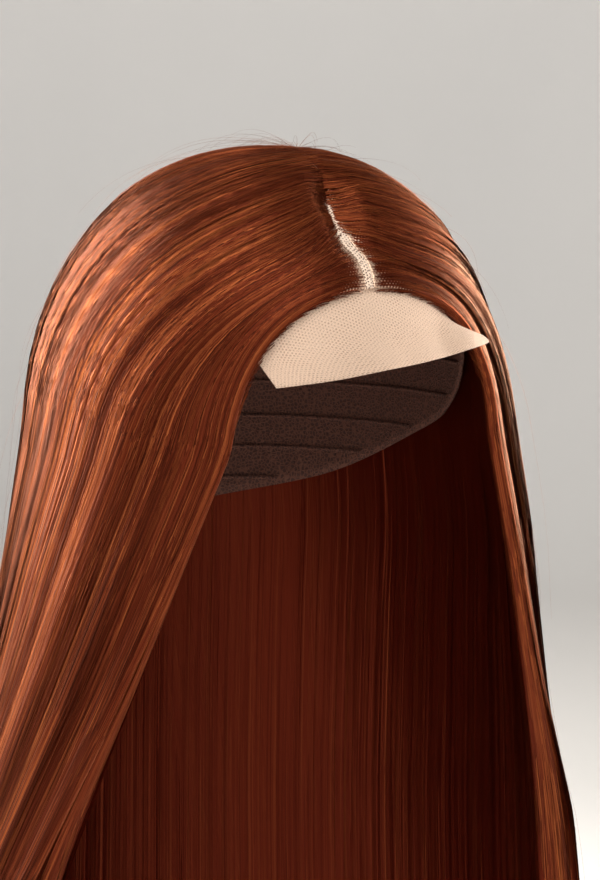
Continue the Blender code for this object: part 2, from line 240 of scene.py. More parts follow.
class Pattern(NodeBuilder):
    """A Geometry Nodes tree, built a node at a time and run once on a mesh."""

    def __init__(self, name: str) -> None:
        """Starts a tree with a geometry input and output.

        Args:
            name: the tree's name.
        """
        self.tree = bpy.data.node_groups.new(name, "GeometryNodeTree")
        self.tree.interface.new_socket("Geometry", in_out="INPUT", socket_type="NodeSocketGeometry")
        self.tree.interface.new_socket("Geometry", in_out="OUTPUT", socket_type="NodeSocketGeometry")
        self.start = self.tree.nodes.new("NodeGroupInput")
        self.end = self.tree.nodes.new("NodeGroupOutput")
        self.values: dict[str, object] = {}

    @property
    def source(self) -> bpy.types.NodeSocket:
        """The geometry that the tree is run on."""
        return self.start.outputs[0]

    def named(self, name: str, kind: str, value: object) -> bpy.types.NodeSocket:
        """Adds a named input.

        Args:
            name: the input's name.
            kind: its socket type, such as Float.
            value: what the modifier sets it to.

        Returns:
            The socket that carries it inside the tree.
        """
        item = self.tree.interface.new_socket(name, in_out="INPUT", socket_type="NodeSocket" + kind)
        self.values[item.identifier] = value
        return self.start.outputs[name]

    def carried(self, name: str, data_type: str = "FLOAT") -> bpy.types.NodeSocket:
        """An attribute that the mesh carries."""
        return self.node("GeometryNodeInputNamedAttribute", {"data_type": data_type}, {"Name": name})

    def maths(self, operation: str, first: object, second: object = 0.0) -> bpy.types.NodeSocket:
        """A Math node on two values or sockets."""
        return self.node("ShaderNodeMath", {"operation": operation}, {0: first, 1: second})

    def store(self, geometry: bpy.types.NodeSocket, name: str, value: object) -> bpy.types.NodeSocket:
        """Stores a number on every point."""
        inputs = {0: geometry, "Name": name, "Value": value}
        return self.node("GeometryNodeStoreNamedAttribute", {"data_type": "FLOAT", "domain": "POINT"}, inputs)

    def run(
        self, name: str, mesh: bpy.types.Mesh, result: bpy.types.NodeSocket, material: bpy.types.Material
    ) -> bpy.types.Object:
        """Ends the tree, runs it on a mesh and keeps the result as a plain object.

        Args:
            name: the new object's name.
            mesh: the mesh to run it on, which is removed.
            result: the socket that holds the finished geometry.
            material: what the result is made of.

        Returns:
            The new object, at the origin.
        """
        real = self.node("GeometryNodeRealizeInstances", {}, {0: result})
        stuff = self.named("Material", "Material", material)
        dressed = self.node("GeometryNodeSetMaterial", {}, {0: real, "Material": stuff})
        self.tree.links.new(dressed, self.end.inputs[0])
        carrier = bpy.data.objects.new(name + "_carrier", mesh)
        bpy.context.scene.collection.objects.link(carrier)
        modifier = carrier.modifiers.new("pattern", "NODES")
        modifier.node_group = self.tree
        for identifier, value in self.values.items():
            modifier[identifier] = value
        graph = bpy.context.evaluated_depsgraph_get()
        plain = bpy.data.meshes.new_from_object(carrier.evaluated_get(graph), depsgraph=graph)
        plain.name = name
        bpy.data.objects.remove(carrier, do_unlink=True)
        bpy.data.meshes.remove(mesh)
        return show(name, plain, material)


# Mesh helpers


def show(name: str, mesh: bpy.types.Mesh, material: bpy.types.Material) -> bpy.types.Object:
    """Puts a mesh in the scene under one material."""
    mesh.materials.clear()
    mesh.materials.append(material)
    thing = bpy.data.objects.new(name, mesh)
    bpy.context.scene.collection.objects.link(thing)
    return thing


def carry(mesh: bpy.types.Mesh, name: str, values: Array, kind: str = "FLOAT") -> None:
    """Stores a value for each vertex.

    Args:
        mesh: the mesh.
        name: the attribute's name.
        values: a number or a vector for each vertex.
        kind: the attribute's type.
    """
    layer = mesh.attributes.new(name, kind, "POINT")
    field_name = "vector" if kind == "FLOAT_VECTOR" else "value"
    layer.data.foreach_set(field_name, np.ascontiguousarray(values, np.float32).ravel())


def shell_mesh(name: str, outside: Array, inside: Array, closed: bool = False) -> bpy.types.Mesh:
    """Joins two equal grids of points into one closed wall, with its faces outwards.

    Args:
        name: the mesh's name.
        outside: rows x columns x 3, the outer surface.
        inside: the same, the inner surface.
        closed: whether the columns run all the way round.

    Returns:
        The mesh. Its vertices are the outer grid's and then the inner grid's.
    """
    rows, columns = outside.shape[:2]
    number = np.arange(rows * columns).reshape(rows, columns)
    if closed:
        number = np.concatenate([number, number[:, :1]], 1)
    other = number + rows * columns
    outer = np.stack([number[:-1, :-1], number[:-1, 1:], number[1:, 1:], number[1:, :-1]], -1)
    inner = np.stack([other[:-1, :-1], other[1:, :-1], other[1:, 1:], other[:-1, 1:]], -1)
    faces = [outer.reshape(-1, 4), inner.reshape(-1, 4)]
    top = np.stack([number[0, :-1], other[0, :-1], other[0, 1:], number[0, 1:]], -1)
    foot = np.stack([number[-1, :-1], number[-1, 1:], other[-1, 1:], other[-1, :-1]], -1)
    faces += [top, foot]
    if not closed:
        first = np.stack([number[:-1, 0], number[1:, 0], other[1:, 0], other[:-1, 0]], -1)
        last = np.stack([number[:-1, -1], other[:-1, -1], other[1:, -1], number[1:, -1]], -1)
        faces += [first, last]
    mesh = bpy.data.meshes.new(name)
    points = np.concatenate([outside.reshape(-1, 3), inside.reshape(-1, 3)])
    mesh.from_pydata(points.tolist(), [], np.concatenate(faces).tolist())
    face_outwards(mesh)
    mesh.shade_smooth()
    return mesh


def face_outwards(mesh: bpy.types.Mesh) -> None:
    """Turns a closed mesh's faces outwards."""
    work = bmesh.new()
    work.from_mesh(mesh)
    bmesh.ops.recalc_face_normals(work, faces=work.faces)
    work.to_mesh(mesh)
    work.free()


def grid_quads(grid: Array) -> Array:
    """The four corners of every face of a grid of points, by number."""
    rows, columns = grid.shape[:2]
    number = np.arange(rows * columns).reshape(rows, columns)
    return np.stack([number[:-1, :-1], number[:-1, 1:], number[1:, 1:], number[1:, :-1]], -1).reshape(-1, 4)


def grid_mesh(name: str, grid: Array) -> bpy.types.Mesh:
    """An open mesh of a grid of points, rows x columns x 3."""
    mesh = bpy.data.meshes.new(name)
    mesh.from_pydata(grid.reshape(-1, 3).tolist(), [], grid_quads(grid).tolist())
    return mesh


def line_mesh(name: str, lines: Array) -> bpy.types.Mesh:
    """A mesh of open lines, lines x points x 3."""
    count, length = lines.shape[:2]
    number = np.arange(count * length).reshape(count, length)
    edges = np.stack([number[:, :-1], number[:, 1:]], -1).reshape(-1, 2)
    mesh = bpy.data.meshes.new(name)
    mesh.from_pydata(lines.reshape(-1, 3).tolist(), edges.tolist(), [])
    return mesh


def smooth(x: Array) -> Array:
    """0 below 0, 1 above 1, and an even S between."""
    x = np.clip(x, 0.0, 1.0)
    return x * x * (3 - 2 * x)


def unit(vectors: Array) -> Array:
    """Vectors at length 1."""
    return vectors / np.maximum(np.linalg.norm(vectors, axis=-1, keepdims=True), 1e-9)


def run_of(points: Array, axis: int) -> Array:
    """How far each point lies along its line, from the line's first point, in metres."""
    steps = np.linalg.norm(np.diff(points, axis=axis), axis=-1)
    start = np.zeros_like(np.take(steps, [0], axis=axis))
    return np.concatenate([start, np.cumsum(steps, axis=axis)], axis=axis)


def through(table: Sequence[NamedTuple], column: str, at: Array) -> Array:
    """A table's column at places in its first column, on a smooth curve through its rows.

    Args:
        table: rows in rising order of their first column.
        column: the column's name.
        at: the places.

    Returns:
        The column's value at each place.
    """
    xs = np.array([row[0] for row in table])
    ys = np.array([getattr(row, column) for row in table])
    slopes = np.empty_like(ys)
    slopes[1:-1] = (ys[2:] - ys[:-2]) / (xs[2:] - xs[:-2])
    slopes[0] = (ys[1] - ys[0]) / (xs[1] - xs[0])
    slopes[-1] = (ys[-1] - ys[-2]) / (xs[-1] - xs[-2])
    at = np.clip(at, xs[0], xs[-1])
    i = np.clip(np.searchsorted(xs, at, side="right") - 1, 0, len(xs) - 2)
    span = xs[i + 1] - xs[i]
    u = (at - xs[i]) / span
    start = (2 * u**3 - 3 * u**2 + 1) * ys[i] + (u**3 - 2 * u**2 + u) * slopes[i] * span
    return start + (3 * u**2 - 2 * u**3) * ys[i + 1] + (u**3 - u**2) * slopes[i + 1] * span


# The form that everything follows


@dataclass(frozen=True)
class HeadForm:
    """The head that the cap fits."""

    half_width: float = 0.077
    half_length: float = 0.097
    crown_height: float = 0.100
    squareness: float = 2.2
    nape_pull_in: float = 0.24

    def point(self, theta: Array, reach: Array, offset: Array | float) -> Array:
        """Points over the head.

        Args:
            theta: angles from the face's middle, towards the wearer's left.
            reach: angles down from the crown; past a quarter turn, straight down.
            offset: distances outwards.

        Returns:
            The points.
        """
        power = 2 / self.squareness
        above = np.clip(reach, 0.0, QUARTER)
        below = np.maximum(reach - QUARTER, 0.0)
        out = np.sin(above) ** power * (1 - self.nape_pull_in * below**2)
        height = (self.crown_height + offset) * np.maximum(np.cos(above), 0.0) ** power
        height = height - self.crown_height * (1 + below)
        x = (self.half_width + offset) * out * np.sin(theta)
        y = -(self.half_length + offset) * out * np.cos(theta)
        return np.stack(np.broadcast_arrays(x, y, height), -1)

    def reach_at(self, height: Array) -> Array:
        """The reach at which the bare head is this high, above its widest level."""
        share = (height + self.crown_height) / self.crown_height
        return np.arccos(share ** (self.squareness / 2))


class FallSection(NamedTuple):
    """A level of the hanging hair, as shares of the hair's own sizes, with its front edges in degrees."""

    drop: float
    right_width: float
    left_width: float
    length: float
    centre: float
    right_front: float
    left_front: float
    depth: float
    edge_depth: float


FALL_SECTIONS = (
    FallSection(0.00, 0.02, 0.05, 0.00, 0.00, 44.5, 42.5, 1.00, 0.32),
    FallSection(0.11, 0.11, 0.20, 0.03, 0.01, 55.0, 49.0, 1.10, 0.36),
    FallSection(0.20, 0.18, 0.30, 0.05, 0.02, 63.0, 57.0, 1.20, 0.42),
    FallSection(0.29, 0.26, 0.42, 0.07, 0.03, 71.0, 65.0, 1.35, 0.55),
    FallSection(0.41, 0.37, 0.57, 0.08, 0.04, 79.0, 74.0, 1.60, 0.80),
    FallSection(0.65, 0.53, 0.72, 0.09, 0.05, 84.0, 79.0, 1.60, 0.85),
    FallSection(0.88, 0.57, 0.76, 0.14, 0.05, 85.0, 80.0, 1.10, 0.60),
    FallSection(1.00, 0.58, 0.77, 0.17, 0.05, 85.0, 81.0, 0.35, 0.35),
)


class PartPoint(NamedTuple):
    """Where the part's middle lies at an angle from the crown, as a share of the head's half width."""

    angle: float
    shift: float


PART_LINE = (
    PartPoint(9.0, 0.000),
    PartPoint(20.0, -0.030),
    PartPoint(31.0, -0.085),
    PartPoint(38.0, -0.125),
    PartPoint(44.0, -0.135),
    PartPoint(49.0, -0.090),
    PartPoint(53.0, -0.085),
    PartPoint(56.7, -0.105),
)

LOCK_EDGES = (0.0, 0.06, 0.13, 0.21, 0.30, 0.40, 0.51, 0.62, 0.74, 0.87, 1.0)
LOCK_SHORTFALL = (1.6, 0.5, 0.0, 0.7, 0.2, 0.9, 0.3, 0.8, 0.1, 0.5)


class Ripple(NamedTuple):
    """One of the waves that break up the hair's surface."""

    count: float
    height: float
    drift: float


# count is how many there are from the front edge to the back's middle, height is in metres, and drift is
# how far it wanders on its way down, in waves
RIPPLES = (
    Ripple(13.0, 0.00030, 0.5),
    Ripple(29.0, 0.00014, 0.9),
    Ripple(53.0, 0.00008, 1.3),
)


@dataclass(frozen=True)
class HairForm:
    """How the hair leaves the part, sweeps over the head and falls."""

    head: HeadForm = HeadForm()
    offset: float = 0.0020
    parting_half: float = 0.0026
    closed_half: float = 0.0006
    whorl_half: float = 0.0016
    root_depth: float = 0.0014
    crown_depth: float = 0.0100
    cover: float = 0.0125
    back_fullness: float = 0.60
    fall_length: float = 0.455
    lock_relief: float = 0.0010
    tip_stagger: float = 0.024
    hairline_angle: float = 56.7
    part_open_angle: float = 31.0
    part_closed_angle: float = 22.0
    whorl_angle: float = 9.0
    sweep_end_angle: float = 112.0
    root_slant: float = 0.12
    part_slant: float = 1.25
    slant_turn: float = 0.35
    open_share: float = 0.50
    open_fade: float = 0.30
    start_reach: float = 0.90
    filling: float = 1.6
    root_edge_spread: float = 0.50
    edge_spread: float = 0.18
    thin_depth: float = 0.0005
    thin_reach: float = 0.09
    edge_reach: float = 0.16
    edge_following: float = 0.55
    edge_turning: float = 2.3
    edge_falling: float = 1.7

    def front_angle(self, side: Side, drop: Array | float) -> Array:
        """The angle of the hair's front edge at a drop, in radians."""
        column = "right_front" if side is Side.RIGHT else "left_front"
        return np.radians(through(FALL_SECTIONS, column, np.asarray(drop, float)))

    def strand_angle(self, side: Side, across: Array, drop: Array | float) -> Array:
        """The angle from the face's middle of a strand at a drop."""
        front = self.front_angle(side, drop)
        return front + (math.pi - front) * across

    def parting(self, angle: Array | float) -> Array:
        """Half the width of the part at an angle in front of the crown, in radians."""
        closing = smooth((self.part_open_angle - angle) / (self.part_open_angle - self.part_closed_angle))
        ring = smooth((self.part_closed_angle - angle) / (self.part_closed_angle - self.whorl_angle))
        half = self.parting_half + (self.closed_half - self.parting_half) * closing
        return (half + (self.whorl_half - self.closed_half) * ring) / self.head.crown_height

    def part_shift(self, angle: Array | float) -> Array:
        """How far the part's middle lies towards the wearer's left, in radians from the crown."""
        shift = through(PART_LINE, "shift", np.asarray(angle, float))
        return shift * self.head.half_width / self.head.crown_height

    def roots(self, side: Side, across: Array) -> tuple[Array, Array, Array]:
        """Where strands are rooted, on the plane that the head unrolls to round the crown.

        Args:
            side: which half of the hair.
            across: places from the front edge, 0, to the back's middle, 1.

        Returns:
            The roots, their first directions, and how far along the part they are.
        """
        front = float(self.front_angle(side, 0.0))
        turning = (math.radians(self.sweep_end_angle) - front) / (math.pi - front)
        along = np.minimum(across / turning, 1.0)
        angle = self.hairline_angle + (self.whorl_angle - self.hairline_angle) * along
        aside = self.parting(angle) + side.value * self.part_shift(angle)
        on_part = np.stack([aside, -np.radians(angle)], -1)
        slant = self.root_slant + (self.part_slant - self.root_slant) * smooth(along / self.slant_turn)
        lean = np.stack([np.ones_like(along), -slant * (1 - along)], -1)
        bend = np.clip((across - turning) / (1 - turning), 0.0, 1.2) * QUARTER
        way = np.stack([np.cos(bend), np.sin(bend)], -1)
        ring = self.parting(self.whorl_angle) * way
        ring[..., 1] -= math.radians(self.whorl_angle)
        beyond = (across > turning)[..., None]
        return np.where(beyond, ring, on_part), np.where(beyond, way, lean), along

    def openness(self, side: Side, across: Array) -> Array:
        """1 where the part lies open at a strand's root, and 0 where the hair closes over it."""
        return 1 - smooth((self.roots(side, across)[2] - self.open_share) / self.open_fade)

    def sweep(self, side: Side, across: Array, along: Array) -> tuple[Array, Array]:
        """Where strands are on their way over the head.

        Args:
            side: which half of the hair.
            across: places from front edge to back's middle.
            along: 0 at the root and 1 at the head's widest level.

        Returns:
            The angle from the face's middle and the reach from the crown.
        """
        root, out, _ = self.roots(side, across)
        angle = self.strand_angle(side, across, 0.0)
        step = 0.01
        pace = step * self.fall_length / self.head.crown_height
        turn = (self.strand_angle(side, across, step) - angle) / pace
        down = np.stack([np.sin(angle), -np.cos(angle)], -1)
        around = np.stack([np.cos(angle), np.sin(angle)], -1)
        end = QUARTER * down
        leave = down + (QUARTER * turn)[..., None] * around
        span = np.linalg.norm(end - root, axis=-1, keepdims=True)
        out = unit(out) * span * self.start_reach
        leave = unit(leave) * span
        u = along[..., None]
        place = (2 * u**3 - 3 * u**2 + 1) * root + (u**3 - 2 * u**2 + u) * out
        place = place + (3 * u**2 - 2 * u**3) * end + (u**3 - u**2) * leave
        first = np.linalg.norm(root, axis=-1)
        turned = np.arctan2(root[..., 0], -root[..., 1])
        turned = turned + (angle - turned) * (1 - (1 - along) ** self.edge_turning)
        reach = first + (QUARTER - first) * along**self.edge_falling
        beside = np.stack([reach * np.sin(turned), -reach * np.cos(turned)], -1)
        follow = self.edge_following * (1 - smooth(across / self.edge_reach))
        place = place + (beside - place) * follow[..., None]
        reach = np.minimum(QUARTER, np.linalg.norm(place, axis=-1))
        return np.arctan2(place[..., 0], -place[..., 1]), reach

    def depth_at(self, theta: Array, share: Array | float) -> Array:
        """The hair's depth, fuller at the back."""
        return self.cover * share * (1 + self.back_fullness * (1 - np.cos(theta)) / 2)

    def point(self, side: Side, across: Array, row: Array, depth: Array | float) -> Array:
        """Points in the hair.

        Args:
            side: which half of the hair.
            across: places from front edge, 0, to back's middle, 1.
            row: 0 at the root, 1 at the head's widest level and 2 at the longest tips.
            depth: 0 at the inner side and 1 outside.

        Returns:
            The points.
        """
        across, row = np.broadcast_arrays(np.asarray(across, float), np.asarray(row, float))
        growth = "right_width" if side is Side.RIGHT else "left_width"
        over = np.clip(row, 0.0, 1.0)
        theta, reach = self.sweep(side, across, over)
        spread = self.root_edge_spread + (self.edge_spread - self.root_edge_spread) * over
        at_edge = FALL_SECTIONS[0].edge_depth
        edge = at_edge + (1 - at_edge) * smooth(across / spread)
        rooted = self.root_depth + (self.crown_depth - self.root_depth) * smooth(self.roots(side, across)[2])
        out = rooted + (edge * self.depth_at(theta, 1.0) - rooted) * over**self.filling
        thinned = np.minimum(out, self.thin_depth + (out - self.thin_depth) * smooth(over / self.thin_reach))
        out = out + (thinned - out) * self.openness(side, across)
        dome = self.head.point(theta, reach, self.offset + depth * out)
        dome[..., 0] += self.head.half_width * getattr(FALL_SECTIONS[0], growth) * over**2 * np.sin(theta)
        drop = np.maximum(row - 1, 0.0)
        theta = self.strand_angle(side, across, drop)
        width = self.head.half_width * (1 + through(FALL_SECTIONS, growth, drop)) + self.offset
        length = self.head.half_length * (1 + through(FALL_SECTIONS, "length", drop)) + self.offset
        centre = self.head.half_length * through(FALL_SECTIONS, "centre", drop)
        at_edge = through(FALL_SECTIONS, "edge_depth", drop)
        edge = at_edge + (1 - at_edge) * smooth(across / self.edge_spread)
        out = depth * edge * self.depth_at(theta, through(FALL_SECTIONS, "depth", drop))
        x = (width + out) * np.sin(theta)
        y = centre - (length + out) * np.cos(theta)
        z = -self.head.crown_height - drop * self.fall_length
        fall = np.stack(np.broadcast_arrays(x, y, z), -1)
        points = np.where((row > 1)[..., None], fall, dome)
        return points * np.array((side.value, 1, 1))

    def tip(self, across: Array) -> Array:
        """How far the tips hang down across the hair, as shares of the fall."""
        edges, short = np.array(LOCK_EDGES), np.array(LOCK_SHORTFALL)
        across = np.clip(across, 0.0, 1.0 - 1e-6)
        lock = np.searchsorted(edges, across, side="right") - 1
        inside = (across - edges[lock]) / (edges[lock + 1] - edges[lock])
        beside = np.clip(lock + np.where(inside > 0.5, 1, -1), 0, len(short) - 1)
        at_edge = 1 + (short[lock] + short[beside]) / 2
        shortfall = short[lock] + (at_edge - short[lock]) * np.abs(2 * inside - 1) ** 1.5
        return 1 - self.tip_stagger * shortfall / self.fall_length

    def relief(self, side: Side, across: Array, row: Array) -> Array:
        """How far the outside stands proud of its plain form: grooves between locks, and finer ripples."""
        edges = np.array(LOCK_EDGES)
        held = np.clip(across, 0.0, 1.0 - 1e-6)
        lock = np.searchsorted(edges, held, side="right") - 1
        inside = (held - edges[lock]) / (edges[lock + 1] - edges[lock])
        groove = 0.5 - 0.5 * np.cos(math.pi * np.abs(2 * inside - 1) ** 1.3)
        height = -self.lock_relief * groove * smooth(row / 0.8)
        grown = smooth((row - 0.02) / 0.5) * (0.3 + 0.7 * smooth((row - 0.8) / 0.9))
        for number, ripple in enumerate(RIPPLES):
            phase = 1.7 * number + (0.9 if side is Side.LEFT else 0.0)
            wander = ripple.drift * np.sin(2.1 * row + 5.0 * across + phase)
            wave = np.sin(math.tau * (ripple.count * across + wander) + phase)
            height = height + grown * ripple.height * wave
        return height

    def outside(
        self, side: Side, across: Array, row: Array, lift: Array | float = 0.0
    ) -> tuple[Array, Array]:
        """Points on the hair's outside, and the directions out of it there."""
        outer = self.point(side, across, row, 1.0)
        wall = outer - self.point(side, across, row, 0.0)
        out = unit(wall)
        deep = np.linalg.norm(wall, axis=-1)
        proud = np.maximum(self.relief(side, across, row), -0.45 * deep) + lift
        return outer + out * proud[..., None], out

    def edge(self, side: Side, row: Array, turn: Array, lift: Array) -> tuple[Array, Array]:
        """Points round the front edge, and the directions out of it there.

        Args:
            side: which half of the hair.
            row: 0 at the root, 1 at the head's widest level and 2 at the tips.
            turn: from the inner side, -90 degrees, to the outer side, 90, in radians.
            lift: distances off the edge.

        Returns:
            The points and the directions.
        """
        row, turn = np.broadcast_arrays(row, turn)
        inner = self.point(side, 0 * row, row, 0.0)
        outer = self.point(side, 0 * row, row, 1.0)
        inwards = unit(self.point(side, 0 * row + 0.004, row, 0.5) - self.point(side, 0 * row, row, 0.5))
        half = np.linalg.norm(outer - inner, axis=-1, keepdims=True) / 2
        away = unit(outer - inner) * np.sin(turn)[..., None] - inwards * np.cos(turn)[..., None]
        return (inner + outer) / 2 + inwards * half + away * (half + np.asarray(lift)[..., None]), away

    def inside(
        self, side: Side, across: Array, row: Array, lift: Array | float = 0.0
    ) -> tuple[Array, Array]:
        """Points on the hair's inner side, and the directions into its hollow there."""
        inner = self.point(side, across, row, 0.0)
        out = unit(self.point(side, across, row, 1.0) - inner)
        proud = 0.5 * self.relief(side, across, row) * smooth(row - 1.0) + lift
        return inner - out * np.broadcast_to(proud, inner.shape[:-1])[..., None], -out


# Finishes


# What the hair's meshes carry: metres across and along a strand, its tint, whether it lies on the inner
# side, where its colour is painted in shade, and how far its root shows the lace
CARRIED = ("beside", "along", "tint", "inner", "root")


@dataclass(frozen=True)
class HairFinish:
    """Sleek copper red fibre: fine streaks along the strands, under a soft warm sheen."""

    deep: Colour = (0.040, 0.0050, 0.0022)
    body: Colour = (0.136, 0.0198, 0.0074)
    bright: Colour = (0.400, 0.106, 0.031)
    # painted shade: the hair on the inner side, which faces the wig's hollow, gets this darker, deeper red
    inner: Colour = (0.070, 0.0034, 0.0012)
    lace: Colour = (0.84, 0.60, 0.45)
    roughness: float = 0.42
    metallic: float = 0.58
    gloss: float = 0.28
    gloss_tint: Colour = (1.0, 0.60, 0.32)
    strand_size: Size = (0.00045, 0.045)
    streak_size: Size = (0.0030, 0.16)
    patch_size: Size = (0.018, 0.22)
    wisp_size: Size = (0.0005, 0.005)
    lace_pitch: float = 0.00115

    def material(self, name: str) -> bpy.types.Material:
        """Makes the material.

        Args:
            name: its name.

        Returns:
            A material that reads the strands' own places, beside and along, and their tint.
        """
        g = ShaderGraph(name)
        beside, along, tint, inner, root = (g.attribute(k) for k in CARRIED)
        place = (beside, along)
        fine = self._noise(g, place, self.strand_size, tint * 7.0, 1.5)
        streak = self._noise(g, place, self.streak_size, 2.0)
        patch = self._noise(g, place, self.patch_size, 0.0, 1.0)
        value = fine * 0.40 + streak * 0.35 + tint * 0.65 + patch * 0.20 - 0.30
        stops = ((0.15, self.deep), (0.50, self.body), (0.88, self.bright))
        colour = g.ramp(value.clamped(), stops)
        # painted shade: hair on the inner side is mixed towards the darker inner colour, as if the hollow
        # shades it
        colour = g.mix(inner * 0.8, colour, self.inner)
        wisps = self._noise(g, place, self.wisp_size, 5.0)
        holes = g.net_holes(beside, along, self.lace_pitch)
        bare = g.range(wisps * 0.5 + holes * 0.45 + root, 0.80, 1.20)
        return g.dress(
            Base_Color=g.mix(bare, colour, self.lace),
            Roughness=fine * 0.14 + self.roughness - 0.07,
            Metallic=self.metallic,
            Normal=g.bump(fine * 0.6 + streak * 0.4, 0.4, 0.0005),
            Specular_IOR_Level=self.gloss,
            Specular_Tint=self.gloss_tint,
        )

    @staticmethod
    def _noise(
        g: ShaderGraph, place: tuple[Signal, Signal], size: Size, seed: object, detail: float = 2.0
    ) -> Signal:
        """Noise whose spots have a size across and along the strands."""
        return g.noise(g.vector(place[0] / size[0], place[1] / size[1], seed), detail=detail)


@dataclass(frozen=True)
class LaceFinish:
    """Sheer beige net: a faint ground between fine threads."""

    ground: Colour = (0.76, 0.51, 0.37)
    thread: Colour = (0.97, 0.77, 0.62)
    opacity: float = 0.68
    knot: Colour | None = None
    pitch: float = 0.00115

    def ground_material(self, name: str) -> bpy.types.Material:
        """The film between the threads, which lets a little light through."""
        g = ShaderGraph(name)
        place = g.node("ShaderNodeTexCoord", {}, {}, "Object")
        cloud = g.noise(place, scale=45.0, detail=3.0)
        holes = g.net_holes(g.attribute("beside"), g.attribute("down"), self.pitch)
        mesh = g.range(holes, -0.2, 0.5, 1.0, 0.0)
        colour = g.mix(cloud, self.ground, tuple(1.12 * c for c in self.ground))
        colour = g.mix(mesh * 0.6, colour, self.thread)
        if self.knot is not None:
            colour = g.mix(g.range(holes + cloud * 0.3, 0.62, 0.95), colour, self.knot)
        return g.dress(
            Base_Color=colour,
            Roughness=0.8,
            Alpha=(mesh * 0.25 + cloud * 0.1 + self.opacity - 0.12).clamped(),
            Normal=g.bump(mesh, 0.4, 0.0001),
        )

    def thread_material(self, name: str) -> bpy.types.Material:
        """The net's threads."""
        g = ShaderGraph(name)
        place = g.node("ShaderNodeTexCoord", {}, {}, "Object")
        fibre = g.noise(place, scale=2500.0, detail=1.0)
        colour = g.mix(fibre, self.thread, tuple(0.85 * c for c in self.thread))
        return g.dress(Base_Color=colour, Roughness=0.7, Normal=g.bump(fibre, 0.3, 0.0001))


@dataclass(frozen=True)
class NetFinish:
    """Matte stretch net of the cap."""

    yarn: Colour = (0.120, 0.045, 0.028)
    gap: Colour = (0.030, 0.010, 0.007)
    pitch: float = 0.0016

    def material(self, name: str) -> bpy.types.Material:
        """Makes the material."""
        g = ShaderGraph(name)
        place = g.node("ShaderNodeTexCoord", {}, {}, "Object")
        inputs = {"Vector": place, "Scale": 1 / self.pitch}
        cells = g.node("ShaderNodeTexVoronoi", {"feature": "DISTANCE_TO_EDGE"}, inputs)
        yarn = g.range(cells, 0.05, 0.22, 1.0, 0.0)
        fibre = g.noise(place, scale=1800.0, detail=2.0)
        colour = g.mix(fibre * 0.4, g.mix(yarn, self.gap, self.yarn), tuple(1.5 * c for c in self.yarn))
        return g.dress(Base_Color=colour, Roughness=0.85, Normal=g.bump(yarn + fibre * 0.2, 0.7, 0.0004))


@dataclass(frozen=True)
class PaperFinish:
    """Plain pale studio paper."""

    tone: Colour = (0.86, 0.85, 0.84)

    def material(self, name: str) -> bpy.types.Material:
        """Makes the material."""
        g = ShaderGraph(name)
        place = g.node("ShaderNodeTexCoord", {}, {}, "Object")
        grain = g.noise(place, scale=3.0, detail=2.0)
        colour = g.mix(grain, self.tone, tuple(0.97 * c for c in self.tone))
        return g.dress(Base_Color=colour, Roughness=0.9)


# Strands


@dataclass
class StrandLines:
    """Guide lines for strands: where they run, which way they face, how wide they are and their tint.

    Their place across the hair and how far from the root they begin are in metres.
    """

    points: Array
    facing: Array
    half_width: Array
    tint: Array
    place: Array
    begun: Array
    inner: float

    def mesh(self, name: str) -> bpy.types.Mesh:
        """The lines as a mesh of edges that carries what a strand needs."""
        mesh = line_mesh(name, self.points)
        count, length = self.points.shape[:2]
        carry(mesh, "facing", unit(self.facing), "FLOAT_VECTOR")
        carry(mesh, "half_width", np.broadcast_to(self.half_width, (count, length)))
        carry(mesh, "tint", np.repeat(self.tint, length))
        # 1 for strands on the inner side, which the hair material darkens with painted shade
        carry(mesh, "inner", np.full(count * length, self.inner))
        carry(mesh, "along", run_of(self.points, 1) + self.begun[:, None])
        carry(mesh, "place", np.repeat(self.place, length))
        return mesh

    def joined(self, other: "StrandLines") -> "StrandLines":
        """These lines and others of the same kind."""
        return StrandLines(
            np.concatenate([self.points, other.points]),
            np.concatenate([self.facing, other.facing]),
            np.concatenate([np.broadcast_to(x.half_width, x.points.shape[:2]) for x in (self, other)]),
            np.concatenate([self.tint, other.tint]),
            np.concatenate([self.place, other.place]),
            np.concatenate([self.begun, other.begun]),
            self.inner,
        )


def drifting(places: Array, pitch: float, rng: np.random.Generator) -> Array:
    """Scatter that neighbours share.

    Args:
        places: where each value is wanted.
        pitch: over what distance the values stay alike.
        rng: the source of the scatter.

    Returns:
        Values about 0, most of them between -1 and 1.
    """
    marks = np.arange(math.floor(places.min() / pitch) - 1, math.ceil(places.max() / pitch) + 2)
    return np.interp(places / pitch, marks, rng.normal(0, 1, len(marks)))


